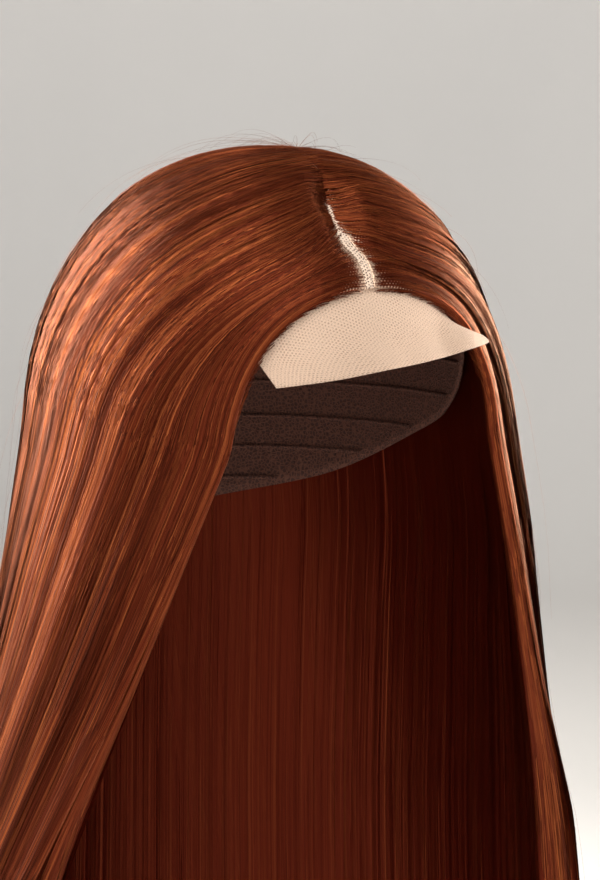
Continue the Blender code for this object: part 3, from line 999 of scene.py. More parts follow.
def strands(
    name: str, lines: StrandLines, material: bpy.types.Material, arched: bool = False
) -> bpy.types.Object:
    """Sweeps a ribbon along every guide line.

    Args:
        name: the piece's name.
        lines: the guide lines.
        material: what they are made of.
        arched: whether the ribbons are arched across, and not flat.

    Returns:
        The strands as one piece.
    """
    p = Pattern(name + "_pattern")
    curve = p.node("GeometryNodeMeshToCurve", {}, {0: p.source})
    facing = p.carried("facing", "FLOAT_VECTOR")
    curve = p.node("GeometryNodeSetCurveNormal", {"mode": "FREE"}, {0: curve, "Normal": facing})
    ends = {"Start": (0.0, -1.0, 0.0), "End": (0.0, 1.0, 0.0)}
    if arched:
        top = p.node("ShaderNodeCombineXYZ", {}, {0: p.named("Rise", "Float", 1.8), 1: 0.0})
        profile = p.node("GeometryNodeCurveQuadraticBezier", {}, {"Resolution": 1, "Middle": top, **ends})
    else:
        profile = p.node("GeometryNodeCurvePrimitiveLine", {}, ends)
    sideways = p.node("ShaderNodeSeparateXYZ", {}, {0: p.node("GeometryNodeInputPosition", {}, {})}, 1)
    profile = p.store(profile, "cross", sideways)
    scale = p.maths("MULTIPLY", p.carried("half_width"), p.named("Thickness", "Float", 1.0))
    ribbon = p.node("GeometryNodeCurveToMesh", {}, {"Curve": curve, "Profile Curve": profile, "Scale": scale})
    sideways = p.maths("MULTIPLY", p.carried("cross"), p.carried("half_width"))
    ribbon = p.store(ribbon, "beside", p.maths("ADD", sideways, p.carried("place")))
    ribbon = p.node("GeometryNodeSetShadeSmooth", {}, {0: ribbon})
    return p.run(name, lines.mesh(name + "_lines"), ribbon, material)


@dataclass
class HairSection:
    """One section of the hair: a wall of locks and the strands that lie over it."""

    part: str
    side: Side
    first: float
    last: float
    form: HairForm
    seed: int
    columns: int = 84
    edge_columns: int = 12
    edge_share: float = 0.10
    dome_rows: int = 34
    fall_rows: int = 56
    strand_count: int = 1700
    edge_count: int = 300
    inner_count: int = 260
    strand_points: int = 22
    dome_share: float = 0.30
    curved_share: float = 0.36
    curved_pace: float = 4.5
    overlap: float = 0.004
    narrow: float = 0.00011
    wide: float = 0.00028
    fade: float = 0.0100
    edge_fade: float = 0.0060
    root_scatter: float = 0.026
    breadth: float = 0.22
    edge_breadth: float = 0.004
    length: float = 0.60
    # painted shade: a share of strands is tinted nearly black, standing in for the shadowed slits between
    # strands
    shade_slit_share: float = 0.09
    shade_slit_tint: float = 0.04
    rooted_share: float = 0.68
    whole_share: float = 0.6
    wander: float = 0.0009
    drift: float = 0.0016
    clumps: int = 42
    clump_pull: float = 0.6
    tip_lift: float = 0.0007
    shared_tilt: float = 0.10
    own_tilt: float = 0.13

    @property
    def node(self) -> str:
        """The CAD node that it stands for."""
        return f"hair_{self.part}_{self.side.name.lower()}"

    def wall(self, material: bpy.types.Material) -> bpy.types.Object:
        """The wall of locks, from its roots to its tips."""
        form, side = self.form, self.side
        dome = np.linspace(0, 1, self.dome_rows + 1) ** 1.3
        rows = np.concatenate([dome, 1 + np.linspace(0, 1, self.fall_rows + 1)[1:]])[:, None]
        share = np.linspace(0, 1, self.columns)
        if self.first == 0:
            rest = np.linspace(self.edge_share, 1, self.columns - self.edge_columns + 1)[1:]
            share = np.concatenate([np.linspace(0, self.edge_share, self.edge_columns), rest])
        across = self.first + (self.last - self.first) * share[None, :]
        row = np.where(rows > 1, 1 + (rows - 1) * form.tip(across), rows)
        outside, _ = form.outside(side, across, row)
        inside, _ = form.inside(side, across, row)
        beside = run_of(outside, 1)
        along = run_of(outside, 0)
        root = (1 - smooth(along / self.fade)) * form.openness(side, across) ** 2
        edge = np.zeros_like(root)
        if self.first == 0:
            middle = (outside + inside) / 2
            half = np.linalg.norm(outside - inside, axis=-1) / 2
            turn = 1 - np.clip(beside / np.maximum(half, 1e-5), 0, 1)
            ease = np.maximum(np.sqrt(1 - turn**2), 0.05)[..., None]
            outside = middle + (outside - middle) * ease
            inside = middle + (inside - middle) * ease
            edge = (1 - smooth(beside / self.edge_fade)) * (1 - smooth((row - 0.08) / 0.25))
            root = np.maximum(root, 0.6 * edge)
        name = f"locks_{self.part}_{self.side.name.lower()}"
        mesh = shell_mesh(name, outside, inside)
        carry(mesh, "along", np.stack([along, along]))
        carry(mesh, "beside", np.stack([beside, beside]) + self.seed)
        carry(mesh, "tint", np.full(2 * along.size, 0.5))
        # the inner grid gets 1: the hair material darkens the wall's inner side with painted shade
        carry(mesh, "inner", np.stack([np.zeros_like(along), np.ones_like(along)]))
        carry(mesh, "root", np.stack([root, edge]))
        return show(name, mesh, material)

    def lines(self, count: int, inner: bool) -> StrandLines:
        """Guide lines for strands that lie on the wall.

        Args:
            count: how many.
            inner: whether they lie on its inner side.

        Returns:
            The lines.
        """
        rng = np.random.default_rng(self.seed + (500 if inner else 0))
        form = self.form
        low = self.first - (self.overlap if self.first > 0 else 0.0)
        high = min(self.last + self.overlap, 1.0)
        start = low + (high - low) * (np.arange(count) + rng.random(count)) / count
        rng.shuffle(start)
        s, t = self._spans(start, inner, rng)
        swing = rng.uniform(0.3, 0.9, count)[:, None] * s + rng.random(count)[:, None]
        wander = rng.normal(0, self.wander, count)[:, None] * np.sin(math.tau * swing)
        drift = rng.normal(0, self.drift, count)[:, None] * (s - s[:, :1])
        clump = np.round(start * self.clumps) / self.clumps
        pull = (clump - start)[:, None] * self.clump_pull * smooth((s - 0.60) / 0.40)
        across = start[:, None] + (wander + drift) * smooth(s / 0.12) + pull
        across = np.clip(across, 0.001, 1.01)
        tip = form.tip(across)
        tip = tip + (1 - tip) * rng.uniform(0.1, 0.95, count)[:, None]
        row = self._rows(s, tip)
        lift = rng.uniform(0.00006, 0.00020, count)
        lift = (lift + 0.00008 * np.abs(drifting(start, 0.009, rng)))[:, None]
        waves = rng.uniform(0.5, 2.0, count)[:, None] * s + rng.random(count)[:, None]
        lift = lift + 0.00006 * np.sin(math.tau * waves) + self.tip_lift * smooth((s - 0.8) / 0.2)
        surface = form.inside if inner else form.outside
        points, facing = surface(self.side, across, row, lift)
        half = rng.uniform(self.narrow, self.wide, count)[:, None]
        clumped = 0.10 * drifting(start, 0.012, rng) + 0.09 * drifting(start, 0.004, rng)
        tint = np.clip(0.5 + clumped + rng.normal(0, 0.17, count), 0.0, 1.0)
        # painted shade: some strands get the near-black tint, for the shadowed slits between strands
        tint = np.where(rng.random(count) < self.shade_slit_share, self.shade_slit_tint, tint)
        sideways = unit(np.cross(np.gradient(points, axis=1), facing))
        tilt = self.shared_tilt * drifting(start, 0.007, rng) + rng.normal(0, self.own_tilt, count)
        facing = facing + sideways * tilt[:, None, None]
        half = half * self._taper(t)
        place = start * self.breadth + self.seed
        return StrandLines(points, facing, half, tint, place, s[:, 0] * self.length, float(inner))

    def _rows(self, s: Array, tip: Array) -> Array:
        """The rows, as HairForm counts them, of places from root, 0, to tip, 1.

        Args:
            s: the places.
            tip: how far down the fall the tips hang there, as shares of it.

        Returns:
            The rows.
        """
        share = self.dome_share
        row = np.where(s < share, s / share, 1 + (s - share) / (1 - share))
        return np.where(row > 1, 1 + (row - 1) * tip, row)

    @staticmethod
    def _taper(t: Array) -> Array:
        """A strand's width from its start, 0, to its end, 1, as a share of its widest."""
        return smooth(t / 0.06 + 0.3) * (0.32 + 0.68 * smooth((1 - t) / 0.15))

    def _spans(self, start: Array, inner: bool, rng: np.random.Generator) -> tuple[Array, Array]:
        """Where each strand's points lie from root, 0, to tip, 1, and from its own start to its end.

        Args:
            start: the strands' places across the hair.
            inner: whether they lie on the inner side.
            rng: the source of their scatter.

        Returns:
            Both, with a row for each strand.
        """
        count = len(start)
        rooted = rng.random(count) < (0.0 if inner else self.rooted_share)
        back = self.form.roots(self.side, start)[2]
        scatter = self.root_scatter * rng.random(count) ** 0.4 * (1 - 0.85 * smooth((back - 0.30) / 0.30))
        scatter = scatter + 0.09 * rng.random(count) * (1 - smooth(start / 0.05))
        begin = np.where(rooted, scatter, rng.uniform(0.30 if inner else 0.03, 0.72, count))
        whole = rng.random(count) < self.whole_share
        finish = np.where(whole, rng.uniform(0.95, 1.02, count), rng.uniform(0.60, 0.97, count))
        finish = np.minimum(np.maximum(finish, begin + 0.25), 1.02)
        marks, pace = (0.0, self.curved_share, 1.1), (0.0, self.curved_share * self.curved_pace)
        pace = (*pace, pace[1] + 1.1 - self.curved_share)
        low, high = (np.interp(x, marks, pace)[:, None] for x in (begin, finish))
        s = np.interp(low + (high - low) * np.linspace(0, 1, self.strand_points)[None, :], pace, marks)
        return s, (s - begin[:, None]) / (finish - begin)[:, None]

    def edge_lines(self) -> StrandLines:
        """Guide lines for the strands that wrap the front edge."""
        rng = np.random.default_rng(self.seed + 900)
        count = self.edge_count
        s, t = self._spans(np.zeros(count), False, rng)
        s = np.maximum(s, rng.uniform(0.05, 0.10, count)[:, None])
        row = self._rows(s, self.form.tip(0 * s))
        turn = rng.uniform(-1.2, 1.4, count)[:, None] + rng.normal(0, 0.3, count)[:, None] * s
        lift = rng.uniform(0.0001, 0.0007, count)[:, None]
        points, facing = self.form.edge(self.side, row, turn, lift)
        half = rng.uniform(self.narrow, self.wide, count)[:, None] * self._taper(t)
        tint = np.clip(rng.normal(0.5, 0.16, count), 0, 1)
        place = self.edge_breadth * turn[:, 0] + self.seed
        return StrandLines(points, facing, half, tint, place, s[:, 0] * self.length, 0.0)

    def build(self, finish: bpy.types.Material) -> list[bpy.types.Object]:
        """Builds the section.

        Args:
            finish: the hair's material.

        Returns:
            Its wall and its strands.
        """
        wall = self.wall(finish)
        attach(wall, BODY)
        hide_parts(self.node)
        lines = self.lines(self.strand_count, False)
        if self.first == 0:
            lines = lines.joined(self.edge_lines())
        name = f"{self.part}_{self.side.name.lower()}"
        pieces = [
            strands(f"strands_{name}", lines, finish),
            strands(f"inner_{name}", self.lines(self.inner_count, True), finish),
        ]
        for piece in pieces:
            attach(piece, BODY)
        return [wall, *pieces]


@dataclass
class FineHairs:
    """The single hairs: roots in the part, at the crown and along the hairline, and flyaways."""

    form: HairForm
    part_count: int = 640
    crown_count: int = 1080
    hairline_count: int = 280
    flyaway_count: int = 260
    points: int = 12
    half_width: float = 0.00009
    flyaway_half: float = 0.00006
    reach: float = 0.007
    pattern_step: float = 0.0137
    seed: int = 77

    def part_roots(self, side: Side, rng: np.random.Generator) -> StrandLines:
        """Hairs that come out of the lace strip and lie down over the edge of the hair."""
        n = self.part_count // 2
        t = self._along()
        across = rng.uniform(0.0, 0.34, n)[:, None] + rng.normal(0, 0.004, n)[:, None] * t
        row = rng.uniform(0.06, 0.24, n)[:, None] * t
        lift = 0.0002 + 0.0003 * rng.random(n)[:, None] * smooth(t * 2)
        points, facing = self.form.outside(side, np.clip(across, 0.001, 1), row, lift)
        back = unit(points[:, :1] - points[:, 3:4]) * rng.uniform(-0.002, 0.0028, n)[:, None, None]
        ease = (1 - t[..., None]) ** 3
        points = points + back * ease - facing * 0.0006 * ease**2
        half = self.half_width * (1 - 0.5 * t)
        return self._lines(points, facing, half + 0 * row, rng.uniform(0.1, 0.8, n))

    def crown_roots(self, side: Side, rng: np.random.Generator) -> StrandLines:
        """Hairs that lie across the closed end of the part and out from the whorl."""
        n = self.crown_count // 2
        t = self._along()
        across = 0.20 + 0.80 * rng.random(n)[:, None] ** 1.8 + rng.normal(0, 0.022, n)[:, None]
        across = across + rng.normal(0, 0.006, n)[:, None] * t
        row = rng.uniform(0.15, 0.50, n)[:, None] * t
        lift = 0.0003 + 0.0004 * rng.random(n)[:, None] + 0 * t
        points, facing = self.form.outside(side, np.clip(across, 0.001, 1), row, lift)
        back = unit(points[:, :1] - points[:, 2:3]) * rng.uniform(0.0004, 0.0040, n)[:, None, None]
        points = points + back * (1 - t[..., None]) ** 4
        half = 1.4 * self.half_width * (1 - 0.6 * t)
        return self._lines(points, facing, half + 0 * row, rng.uniform(0.2, 0.9, n))

    def _along(self) -> Array:
        """The places of a hair's points from its root, 0, to its tip, 1, as a row."""
        return np.linspace(0, 1, self.points)[None, :]

    def _lines(self, points: Array, facing: Array, half: Array, tint: Array) -> StrandLines:
        """Guide lines that begin at their own roots, each with its own pattern."""
        place = np.arange(len(tint)) * self.pattern_step
        return StrandLines(points, facing, half, tint, place, np.zeros(len(tint)), 0.0)

    def hairline_roots(self, side: Side, rng: np.random.Generator) -> StrandLines:
        """Hairs that are knotted one by one into the lace ahead of the front edge."""
        n = self.hairline_count // 2
        t = self._along()
        begin = 0.80 * rng.random(n)[:, None]
        row = np.minimum(begin + rng.uniform(0.20, 0.55, n)[:, None] * t, 1.3)
        ahead = -0.009 * rng.random(n)[:, None] ** 1.6
        inward = rng.uniform(0.001, 0.012, n)[:, None]
        across = ahead + (inward - ahead) * smooth(t * 1.2)
        depth = 0.10 + 0.95 * smooth(t * 1.6)
        points = self.form.point(side, across, row, depth)
        root = self.form.point(side, across, row, 0.0)
        facing = unit(self.form.point(side, across, row, 1.0) - root)
        points[:, 0] = root[:, 0] - facing[:, 0] * 0.0011
        half = self.half_width * (1 - 0.4 * t)
        return self._lines(points, facing, half + 0 * row, rng.uniform(0.1, 0.8, n))

    def flyaways(self, side: Side, rng: np.random.Generator) -> StrandLines:
        """Loose hairs that stand off the surface."""
        n = self.flyaway_count // 2
        t = self._along()
        start = rng.uniform(0.0, 1.0, n)[:, None]
        begin = rng.choice([0.0, 1.0], n, p=[0.35, 0.65])[:, None] * rng.uniform(0.0, 1.5, n)[:, None]
        row = begin + rng.uniform(0.12, 0.45, n)[:, None] * t
        across = start + rng.normal(0, 0.022, n)[:, None] * t**1.5
        away = rng.uniform(0.15, 1.0, n)[:, None] ** 2 * self.reach
        lift = 0.0006 + away * np.sin(math.pi * t * rng.uniform(0.5, 1.0, n)[:, None])
        points, facing = self.form.outside(side, np.clip(across, 0.001, 1.0), np.clip(row, 0.0, 1.98), lift)
        half = self.flyaway_half * (1 - 0.6 * t)
        return self._lines(points, facing, half + 0 * row, rng.uniform(0.4, 0.9, n))

    def build(self, finish: bpy.types.Material) -> list[bpy.types.Object]:
        """Builds each kind as one piece."""
        rng = np.random.default_rng(self.seed)
        pieces = []
        kinds = (
            ("part_roots", self.part_roots),
            ("crown_roots", self.crown_roots),
            ("hairline_roots", self.hairline_roots),
            ("flyaways", self.flyaways),
        )
        for name, kind in kinds:
            lines = kind(Side.RIGHT, rng).joined(kind(Side.LEFT, rng))
            pieces.append(strands(name, lines, finish, arched=True))
            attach(pieces[-1], BODY)
        return pieces


# Lace


class RimPoint(NamedTuple):
    """How far down the cap's rim lies at an angle from the face's middle, in degrees."""

    angle: float
    reach: float


CAP_RIM = (
    RimPoint(0.0, 46.0),
    RimPoint(30.0, 49.0),
    RimPoint(55.0, 60.0),
    RimPoint(75.0, 84.0),
    RimPoint(100.0, 97.0),
    RimPoint(130.0, 109.0),
    RimPoint(180.0, 117.0),
)


class LaceEdge(NamedTuple):
    """The free edge's height, as a share of the crown's height, at an angle in degrees."""

    angle: float
    height: float


LACE_EDGE = (
    LaceEdge(-52.0, -0.800),
    LaceEdge(-25.0, -0.755),
    LaceEdge(0.0, -0.705),
    LaceEdge(25.0, -0.675),
    LaceEdge(52.0, -0.665),
)


class LaceEnd(NamedTuple):
    """The lace's two ends in degrees, by the share of the way down to its free edge."""

    share: float
    right: float
    left: float


LACE_ENDS = (
    LaceEnd(0.00, -50.0, 30.0),
    LaceEnd(0.50, -44.5, 29.0),
    LaceEnd(0.67, -41.5, 27.0),
    LaceEnd(0.83, -38.0, 30.0),
    LaceEnd(1.00, -34.0, 44.0),
)


@dataclass
class LaceFront:
    """The untrimmed lace over the forehead: a sheer ground and the net's threads."""

    head: HeadForm
    finish: LaceFinish
    wall: float = 0.0003
    rise: float = 0.0007
    seam: float = 0.0004
    corner_lift: float = 0.0074
    lift_angle: float = 17.0
    lift_turn: float = 12.0
    lift_share: float = 0.62
    lift_rise: float = 0.30
    wave_count: float = 17.0
    wave_height: float = 0.00035
    net_turn: float = 27.0
    columns: int = 110
    rows: int = 34
    uv_scale: float = 5.0
    thread_half: float = 0.00012

    def surface(self, offset: float) -> Array:
        """A grid of points on the lace, rows down to its free edge."""
        share = np.linspace(0, 1, self.rows)[:, None]
        right, left = (through(LACE_ENDS, end, share) for end in ("right", "left"))
        angle = right + (left - right) * np.linspace(0, 1, self.columns)[None, :]
        theta = np.radians(angle)
        top = np.radians(through(CAP_RIM, "reach", np.abs(angle))) + self.seam / self.head.crown_height
        bottom = self.head.reach_at(through(LACE_EDGE, "height", angle) * self.head.crown_height)
        sideways = smooth((angle - self.lift_angle) / self.lift_turn)
        lift = self.corner_lift * sideways * smooth((share - self.lift_share) / self.lift_rise)
        wave = np.sin(np.radians(angle * self.wave_count) + 3.0 * share)
        ripple = self.wave_height * smooth((share - 0.6) / 0.4) * wave
        return self.head.point(theta, top + (bottom - top) * share, offset + lift + ripple)

    def build(self) -> list[bpy.types.Object]:
        """Builds the ground and its net."""
        outside = self.surface(self.rise + self.wall)
        inside = self.surface(self.rise)
        mesh = shell_mesh("forehead_lace", outside, inside)
        for name, place in zip(("beside", "down"), self._places(outside)):
            carry(mesh, name, np.stack([place, place]))
        ground = show("forehead_lace", mesh, self.finish.ground_material("sheer_lace"))
        threads = self.net(outside)
        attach(ground, BODY)
        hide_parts("lace_front")
        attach(threads, BODY)
        return [ground, threads]

    def _places(self, grid: Array) -> tuple[Array, Array]:
        """How far a grid's points lie across, from its middle column, and down."""
        beside = run_of(grid, 1)
        return beside - beside[:, self.columns // 2 : self.columns // 2 + 1], run_of(grid, 0)

    @staticmethod
    def _area(grid: Array) -> float:
        """A grid's surface in square metres."""
        down, over = np.diff(grid, axis=0)[:, :-1], np.diff(grid, axis=1)[:-1]
        return float(np.linalg.norm(np.cross(down, over), axis=-1).sum())

    def net(self, grid: Array) -> bpy.types.Object:
        """The net's threads, laid out flat as hexagons and carried onto the lace by its own map."""
        mesh = grid_mesh("lace_map", grid)
        beside, down = self._places(grid)
        flat = np.stack([beside * self.uv_scale + 0.5, down * self.uv_scale + 0.1], -1).reshape(-1, 2)
        layer = mesh.uv_layers.new(name="flat")
        layer.data.foreach_set("uv", flat[grid_quads(grid).ravel()].astype(np.float32).ravel())
        p = Pattern("lace_net")
        pitch = p.named("Pitch", "Float", self.finish.pitch * self.uv_scale)
        half = p.named("Thread", "Float", self.thread_half)
        count = p.maths("DIVIDE", 1.0, pitch)
        sheet = p.node("GeometryNodeMeshGrid", {}, {0: 1.0, 1: 1.0, 2: count, 3: count})
        turn = (0.0, 0.0, math.radians(self.net_turn))
        inputs = {0: sheet, "Rotation": turn, "Translation": (0.5, 0.25, 0.0)}
        turned = p.node("GeometryNodeTransform", {}, inputs)
        cells = p.node("GeometryNodeDualMesh", {}, {0: p.node("GeometryNodeTriangulate", {}, {0: turned})})
        where = p.node("GeometryNodeInputPosition", {}, {})
        chart = p.carried("flat", "FLOAT_VECTOR")
        spot = p.node("GeometryNodeInputPosition", {}, {})
        sample = p.tree.nodes.new("GeometryNodeSampleUVSurface")
        sample.data_type = "FLOAT_VECTOR"
        for socket, value in (("Mesh", p.source), ("Value", spot), ("UV Map", chart), ("Sample UV", where)):
            p.tree.links.new(value, sample.inputs[socket])
        missing = p.node("FunctionNodeBooleanMath", {"operation": "NOT"}, {0: sample.outputs["Is Valid"]})
        kept = p.node("GeometryNodeCaptureAttribute", {}, {0: cells})
        capture = kept.node
        capture.capture_items.new("VECTOR", "Spot")
        p.tree.links.new(sample.outputs["Value"], capture.inputs["Spot"])
        inputs = {0: capture.outputs[0], "Selection": missing}
        inside = p.node("GeometryNodeDeleteGeometry", {"domain": "POINT"}, inputs)
        placed = p.node("GeometryNodeSetPosition", {}, {0: inside, "Position": capture.outputs["Spot"]})
        lines = p.node("GeometryNodeMeshToCurve", {}, {0: placed})
        inputs = {"Resolution": 3, "Radius": half}
        profile = p.node("GeometryNodeCurvePrimitiveCircle", {"mode": "RADIUS"}, inputs)
        threads = p.node("GeometryNodeCurveToMesh", {}, {"Curve": lines, "Profile Curve": profile})
        threads = p.node("GeometryNodeSetShadeSmooth", {}, {0: threads})
        return p.run("lace_threads", mesh, threads, self.finish.thread_material("lace_thread"))


@dataclass
class LacePart:
    """The strip of lace along the part, with the knots that the hair is tied with."""

    form: HairForm
    finish: LaceFinish
    knot_finish: bpy.types.Material
    low: float = 0.0016
    wall: float = 0.0008
    tuck: float = 0.0010
    end_angle: float = 26.0
    rows: int = 60
    columns: int = 9
    knot_colour: Colour = (0.20, 0.050, 0.022)
    knot_radius: float = 0.00026
    knot_gap: float = 0.0007
    knot_density: float = 700000.0
    seed: int = 5

    def surface(self, offset: float) -> Array:
        """A grid of points on the strip, rows back from the hairline."""
        angle = np.linspace(self.form.hairline_angle, self.end_angle, self.rows)[:, None]
        half = self.form.parting(angle) + self.tuck / self.form.head.crown_height
        x = half * np.linspace(-1, 1, self.columns)[None, :] + self.form.part_shift(angle)
        y = -np.radians(angle) + 0 * x
        return self.form.head.point(np.arctan2(x, -y), np.hypot(x, y), offset)

    def build(self) -> list[bpy.types.Object]:
        """Builds the strip and its knots."""
        outside = self.surface(self.low + self.wall)
        mesh = shell_mesh("parting_lace", outside, self.surface(self.low))
        for name, axis in (("beside", 1), ("down", 0)):
            carry(mesh, name, np.stack([run_of(outside, axis)] * 2))
        knotted = replace(self.finish, opacity=0.95, ground=self.finish.thread, knot=self.knot_colour)
        strip = show("parting_lace", mesh, knotted.ground_material("part_lace"))
        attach(strip, BODY)
        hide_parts("lace_part")
        p = Pattern("part_knots")
        density = p.named("Knots per square metre", "Float", self.knot_density)
        radius = p.named("Knot radius", "Float", self.knot_radius)
        seed = p.named("Seed", "Int", self.seed)
        inputs = {0: p.source, "Distance Min": self.knot_gap, "Density Max": density, "Seed": seed}
        spots = p.node("GeometryNodeDistributePointsOnFaces", {"distribute_method": "POISSON"}, inputs)
        ball = p.node("GeometryNodeMeshIcoSphere", {}, {"Radius": radius, "Subdivisions": 1})
        knots = p.node("GeometryNodeInstanceOnPoints", {}, {0: spots, "Instance": ball})
        piece = p.run("part_knots", grid_mesh("part_map", outside), knots, self.knot_finish)
        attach(piece, BODY)
        return [strip, piece]


# Cap


@dataclass
class Cap:
    """The net cap, with the rows of stitched hair strips that it is made of."""

    head: HeadForm
    wall: float = 0.0012
    rows: int = 44
    steps: int = 120
    crown_reach: float = 0.02
    strip_height: float = 0.0016
    strip_rise: float = 0.0005
    strip_margin: float = 0.03
    strip_share: float = 0.72
    strip_points: int = 110
    strip_reaches: tuple[float, ...] = tuple(math.radians(r) for r in range(38, 112, 8))

    def rim(self, theta: Array) -> Array:
        """How far down the rim lies."""
        turned = np.abs((theta + math.pi) % math.tau - math.pi)
        return np.radians(through(CAP_RIM, "reach", np.degrees(turned)))

    def surface(self, offset: float) -> Array:
        """A grid of points on the cap, from the crown to the rim."""
        theta = np.linspace(0, math.tau, self.steps, endpoint=False)[None, :]
        share = np.linspace(0, 1, self.rows)[:, None]
        reach = self.crown_reach + (self.rim(theta) - self.crown_reach) * share
        return self.head.point(theta + 0 * share, reach, offset)

    def build(self, net: bpy.types.Material) -> list[bpy.types.Object]:
        """Builds the cap and the strips inside it."""
        mesh = shell_mesh("net_cap", self.surface(self.wall), self.surface(0.0), closed=True)
        cap = show("net_cap", mesh, net)
        self._close_crown(cap.data)
        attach(cap, BODY)
        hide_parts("cap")
        strips = self.strips(net)
        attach(strips, BODY)
        return [cap, strips]

    def _close_crown(self, mesh: bpy.types.Mesh) -> None:
        """Fills the small ring at the crown, on both sides of the wall."""
        work = bmesh.new()
        work.from_mesh(mesh)
        work.verts.ensure_lookup_table()
        count = self.rows * self.steps
        ring = [f for f in work.faces if all(v.index % count < self.steps for v in f.verts)]
        bmesh.ops.delete(work, geom=ring, context="FACES_ONLY")
        work.verts.ensure_lookup_table()
        for start in (0, count):
            work.faces.new([work.verts[start + k] for k in range(self.steps)])
        bmesh.ops.recalc_face_normals(work, faces=work.faces)
        work.to_mesh(mesh)
        work.free()
        mesh.shade_smooth()

    def strips(self, net: bpy.types.Material) -> bpy.types.Object:
        """The stitched strips: level bands inside the net, from ear to ear round the back."""
        lines = []
        for reach in self.strip_reaches:
            theta = np.linspace(0, math.tau, 400)
            inside = self.rim(theta) > reach + self.strip_margin
            theta = theta[inside & (np.abs(theta - math.pi) < math.pi * self.strip_share)]
            theta = np.linspace(theta[0], theta[-1], self.strip_points)
            lines.append(self.head.point(theta, np.full(self.strip_points, reach), -self.strip_rise))
        points = np.stack(lines)
        mesh = line_mesh("cap_lines", points)
        p = Pattern("cap_strips")
        height = p.named("Strip height", "Float", self.strip_height)
        rise = p.named("Strip rise", "Float", self.strip_rise)
        curve = p.node("GeometryNodeMeshToCurve", {}, {0: p.source})
        curve = p.node("GeometryNodeSetCurveNormal", {"mode": "Z_UP"}, {0: curve})
        inputs = {"Width": rise, "Height": height}
        profile = p.node("GeometryNodeCurvePrimitiveQuadrilateral", {"mode": "RECTANGLE"}, inputs)
        inputs = {"Curve": curve, "Profile Curve": profile, "Fill Caps": True}
        band = p.node("GeometryNodeCurveToMesh", {}, inputs)
        return p.run("cap_strips", mesh, band, net)


# Studio


class Lamp(NamedTuple):
    """A soft square light: where it stands, its size, power and colour, whether it faces out, and its fan."""

    name: str
    azimuth: float
    elevation: float
    distance: float
    width: float
    power: float
    colour: Colour
    outward: bool = False
    spread: float = 180.0


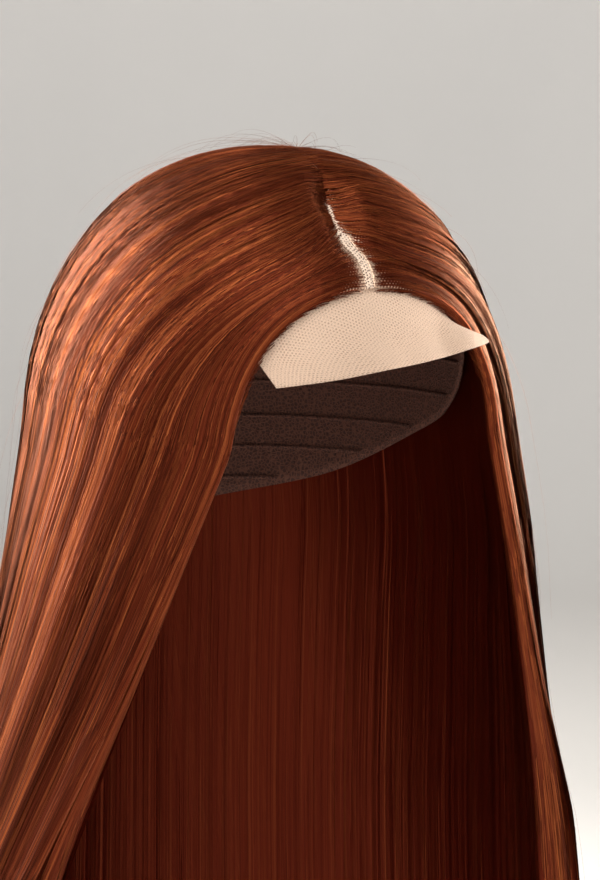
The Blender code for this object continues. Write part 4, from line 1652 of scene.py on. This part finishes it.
@dataclass
class Studio:
    """The pale floor, the soft lights and the camera."""

    azimuth: float = -30.0
    elevation: float = 7.0
    distance: float = 0.85
    view_angle: float = 24.0
    aim_right: float = 0.0115
    aim_height: float = -0.107
    floor_height: float = -0.62
    floor_radius: float = 4.0
    floor_bend: float = 1.6
    floor_steps: int = 64
    wall_height: float = 5.0
    air_colour: Colour = (0.88, 0.86, 0.84)
    air_strength: float = 0.22
    lamp_middle: float = -0.15
    lamps: tuple[Lamp, ...] = (
        Lamp("side_light", -150.0, 20.0, 1.5, 1.1, 51.0, (1.0, 0.95, 0.88)),
        Lamp("top_light", -60.0, 62.0, 1.7, 1.0, 15.0, (1.0, 0.96, 0.90)),
        Lamp("rim_light", 114.0, 8.0, 1.5, 0.7, 5.0, (1.0, 0.94, 0.87), spread=90.0),
        Lamp("far_side_light", 78.0, 4.0, 1.6, 0.7, 6.5, (1.0, 0.94, 0.87), spread=90.0),
        Lamp("front_light", -25.0, 10.0, 2.2, 1.5, 8.0, (1.0, 0.97, 0.93)),
        Lamp("back_wall_light", 150.0, 40.0, 1.4, 1.0, 26.0, (1.0, 0.99, 0.97), outward=True),
        Lamp("front_wall_light", -30.0, 45.0, 1.6, 1.0, 26.0, (1.0, 0.99, 0.97), outward=True),
    )

    @staticmethod
    def _way(azimuth: float, elevation: float) -> Array:
        """The direction from the object to something at an azimuth and elevation."""
        a, e = math.radians(azimuth), math.radians(elevation)
        return np.array((math.sin(a) * math.cos(e), -math.cos(a) * math.cos(e), math.sin(e)))

    @staticmethod
    def _turn(away: Array) -> Euler:
        """The rotation that looks from a direction back at the object."""
        return Vector(away).to_track_quat("Z", "Y").to_euler()

    def build(self) -> None:
        """Builds the studio."""
        self._cove()
        self._lamps()
        self._camera()
        world = bpy.data.worlds.new("studio_air")
        world.use_nodes = True
        sky = world.node_tree.nodes["Background"]
        sky.inputs["Color"].default_value = (*self.air_colour, 1.0)
        sky.inputs["Strength"].default_value = self.air_strength
        bpy.context.scene.world = world
        bpy.context.scene.view_settings.view_transform = "Standard"

    def _cove(self) -> None:
        """A round pale floor that curves up into a wall."""
        arc = np.linspace(0, QUARTER, 12)
        out = self.floor_radius - self.floor_bend * (1 - np.append(np.sin(arc), 1.0))
        up = self.floor_height + np.append(self.floor_bend * (1 - np.cos(arc)), self.wall_height)
        turn = np.linspace(0, math.tau, self.floor_steps, endpoint=False)
        rings = [np.outer(out, np.cos(turn)), np.outer(out, np.sin(turn)), np.outer(up, np.ones_like(turn))]
        number = np.arange(len(out) * self.floor_steps).reshape(len(out), self.floor_steps)
        beside = np.roll(number, -1, axis=1)
        middle = np.full(self.floor_steps, number.size)
        faces = np.stack([number[:-1], number[1:], beside[1:], beside[:-1]], -1).reshape(-1, 4).tolist()
        faces += np.stack([middle, number[0], beside[0]], -1).tolist()
        points = np.stack(rings, -1).reshape(-1, 3).tolist() + [(0.0, 0.0, self.floor_height)]
        mesh = bpy.data.meshes.new("studio_floor")
        mesh.from_pydata(points, [], faces)
        mesh.shade_smooth()
        show("studio_floor", mesh, PaperFinish().material("studio_paper"))

    def _lamps(self) -> None:
        """The soft lights."""
        middle = np.array((0.0, 0.0, self.lamp_middle))
        for lamp in self.lamps:
            light = bpy.data.lights.new(lamp.name, "AREA")
            light.shape = "SQUARE"
            light.size = lamp.width
            light.energy = lamp.power
            light.color = lamp.colour
            light.spread = math.radians(lamp.spread)
            thing = bpy.data.objects.new(lamp.name, light)
            away = self._way(lamp.azimuth, lamp.elevation)
            thing.location = middle + away * lamp.distance
            thing.rotation_euler = self._turn(-away if lamp.outward else away)
            thing.visible_camera = False
            bpy.context.scene.collection.objects.link(thing)

    def _camera(self) -> None:
        """The camera, at the photograph's angle."""
        away = self._way(self.azimuth, self.elevation)
        turn = math.radians(self.azimuth)
        right = np.array((math.cos(turn), math.sin(turn), 0.0))
        camera = bpy.data.cameras.new("camera")
        camera.sensor_fit = "VERTICAL"
        camera.angle = math.radians(self.view_angle)
        camera.clip_start = 0.02
        thing = bpy.data.objects.new("camera", camera)
        thing.location = right * self.aim_right + away * self.distance + np.array((0, 0, self.aim_height))
        thing.rotation_euler = self._turn(away)
        bpy.context.scene.collection.objects.link(thing)
        bpy.context.scene.camera = thing


class SectionSpan(NamedTuple):
    """A hair section's first and last place across the hair."""

    part: str
    first: float
    last: float


SECTIONS = (SectionSpan("front", 0.0, 0.21), SectionSpan("side", 0.21, 0.51), SectionSpan("back", 0.51, 1.0))


@dataclass
class Wig:
    """The whole wig."""

    head: HeadForm = field(default_factory=HeadForm)
    form: HairForm = field(default_factory=HairForm)

    def build(self) -> dict[Slot, list[bpy.types.Object]]:
        """Builds every piece.

        Returns:
            The pieces by the material slot that they take their finish from.
        """
        hair = HairFinish().material("copper_hair")
        net = NetFinish().material("cap_net")
        lace = LaceFinish()
        made = {Slot.CAP_NET: Cap(self.head).build(net)}
        part = LacePart(self.form, lace, hair).build()
        made[Slot.LACE] = LaceFront(self.head, lace).build() + part[:1]
        made[Slot.HAIR] = part[1:]
        for number, span in enumerate(SECTIONS):
            for side in Side:
                seed = 10 * number + side.value + 2
                section = HairSection(span.part, side, span.first, span.last, self.form, seed)
                made[Slot.HAIR] += section.build(hair)
        made[Slot.HAIR] += FineHairs(self.form).build(hair)
        return made


def triangles(thing: bpy.types.Object) -> int:
    """How many triangles a piece has."""
    return sum(len(face.vertices) - 2 for face in thing.data.polygons)


def main() -> None:
    """Builds the wig and the studio, and reports each piece."""
    logging.basicConfig(level=logging.INFO, format="%(message)s", stream=sys.stdout)
    total = 0
    for slot, pieces in Wig().build().items():
        for piece in pieces:
            count = triangles(piece)
            total += count
            LOG.info("%s: %d triangles, %s", piece.name, count, slot.value)
    LOG.info("all pieces: %d triangles", total)
    Studio().build()


if __name__ == "__main__":
    main()
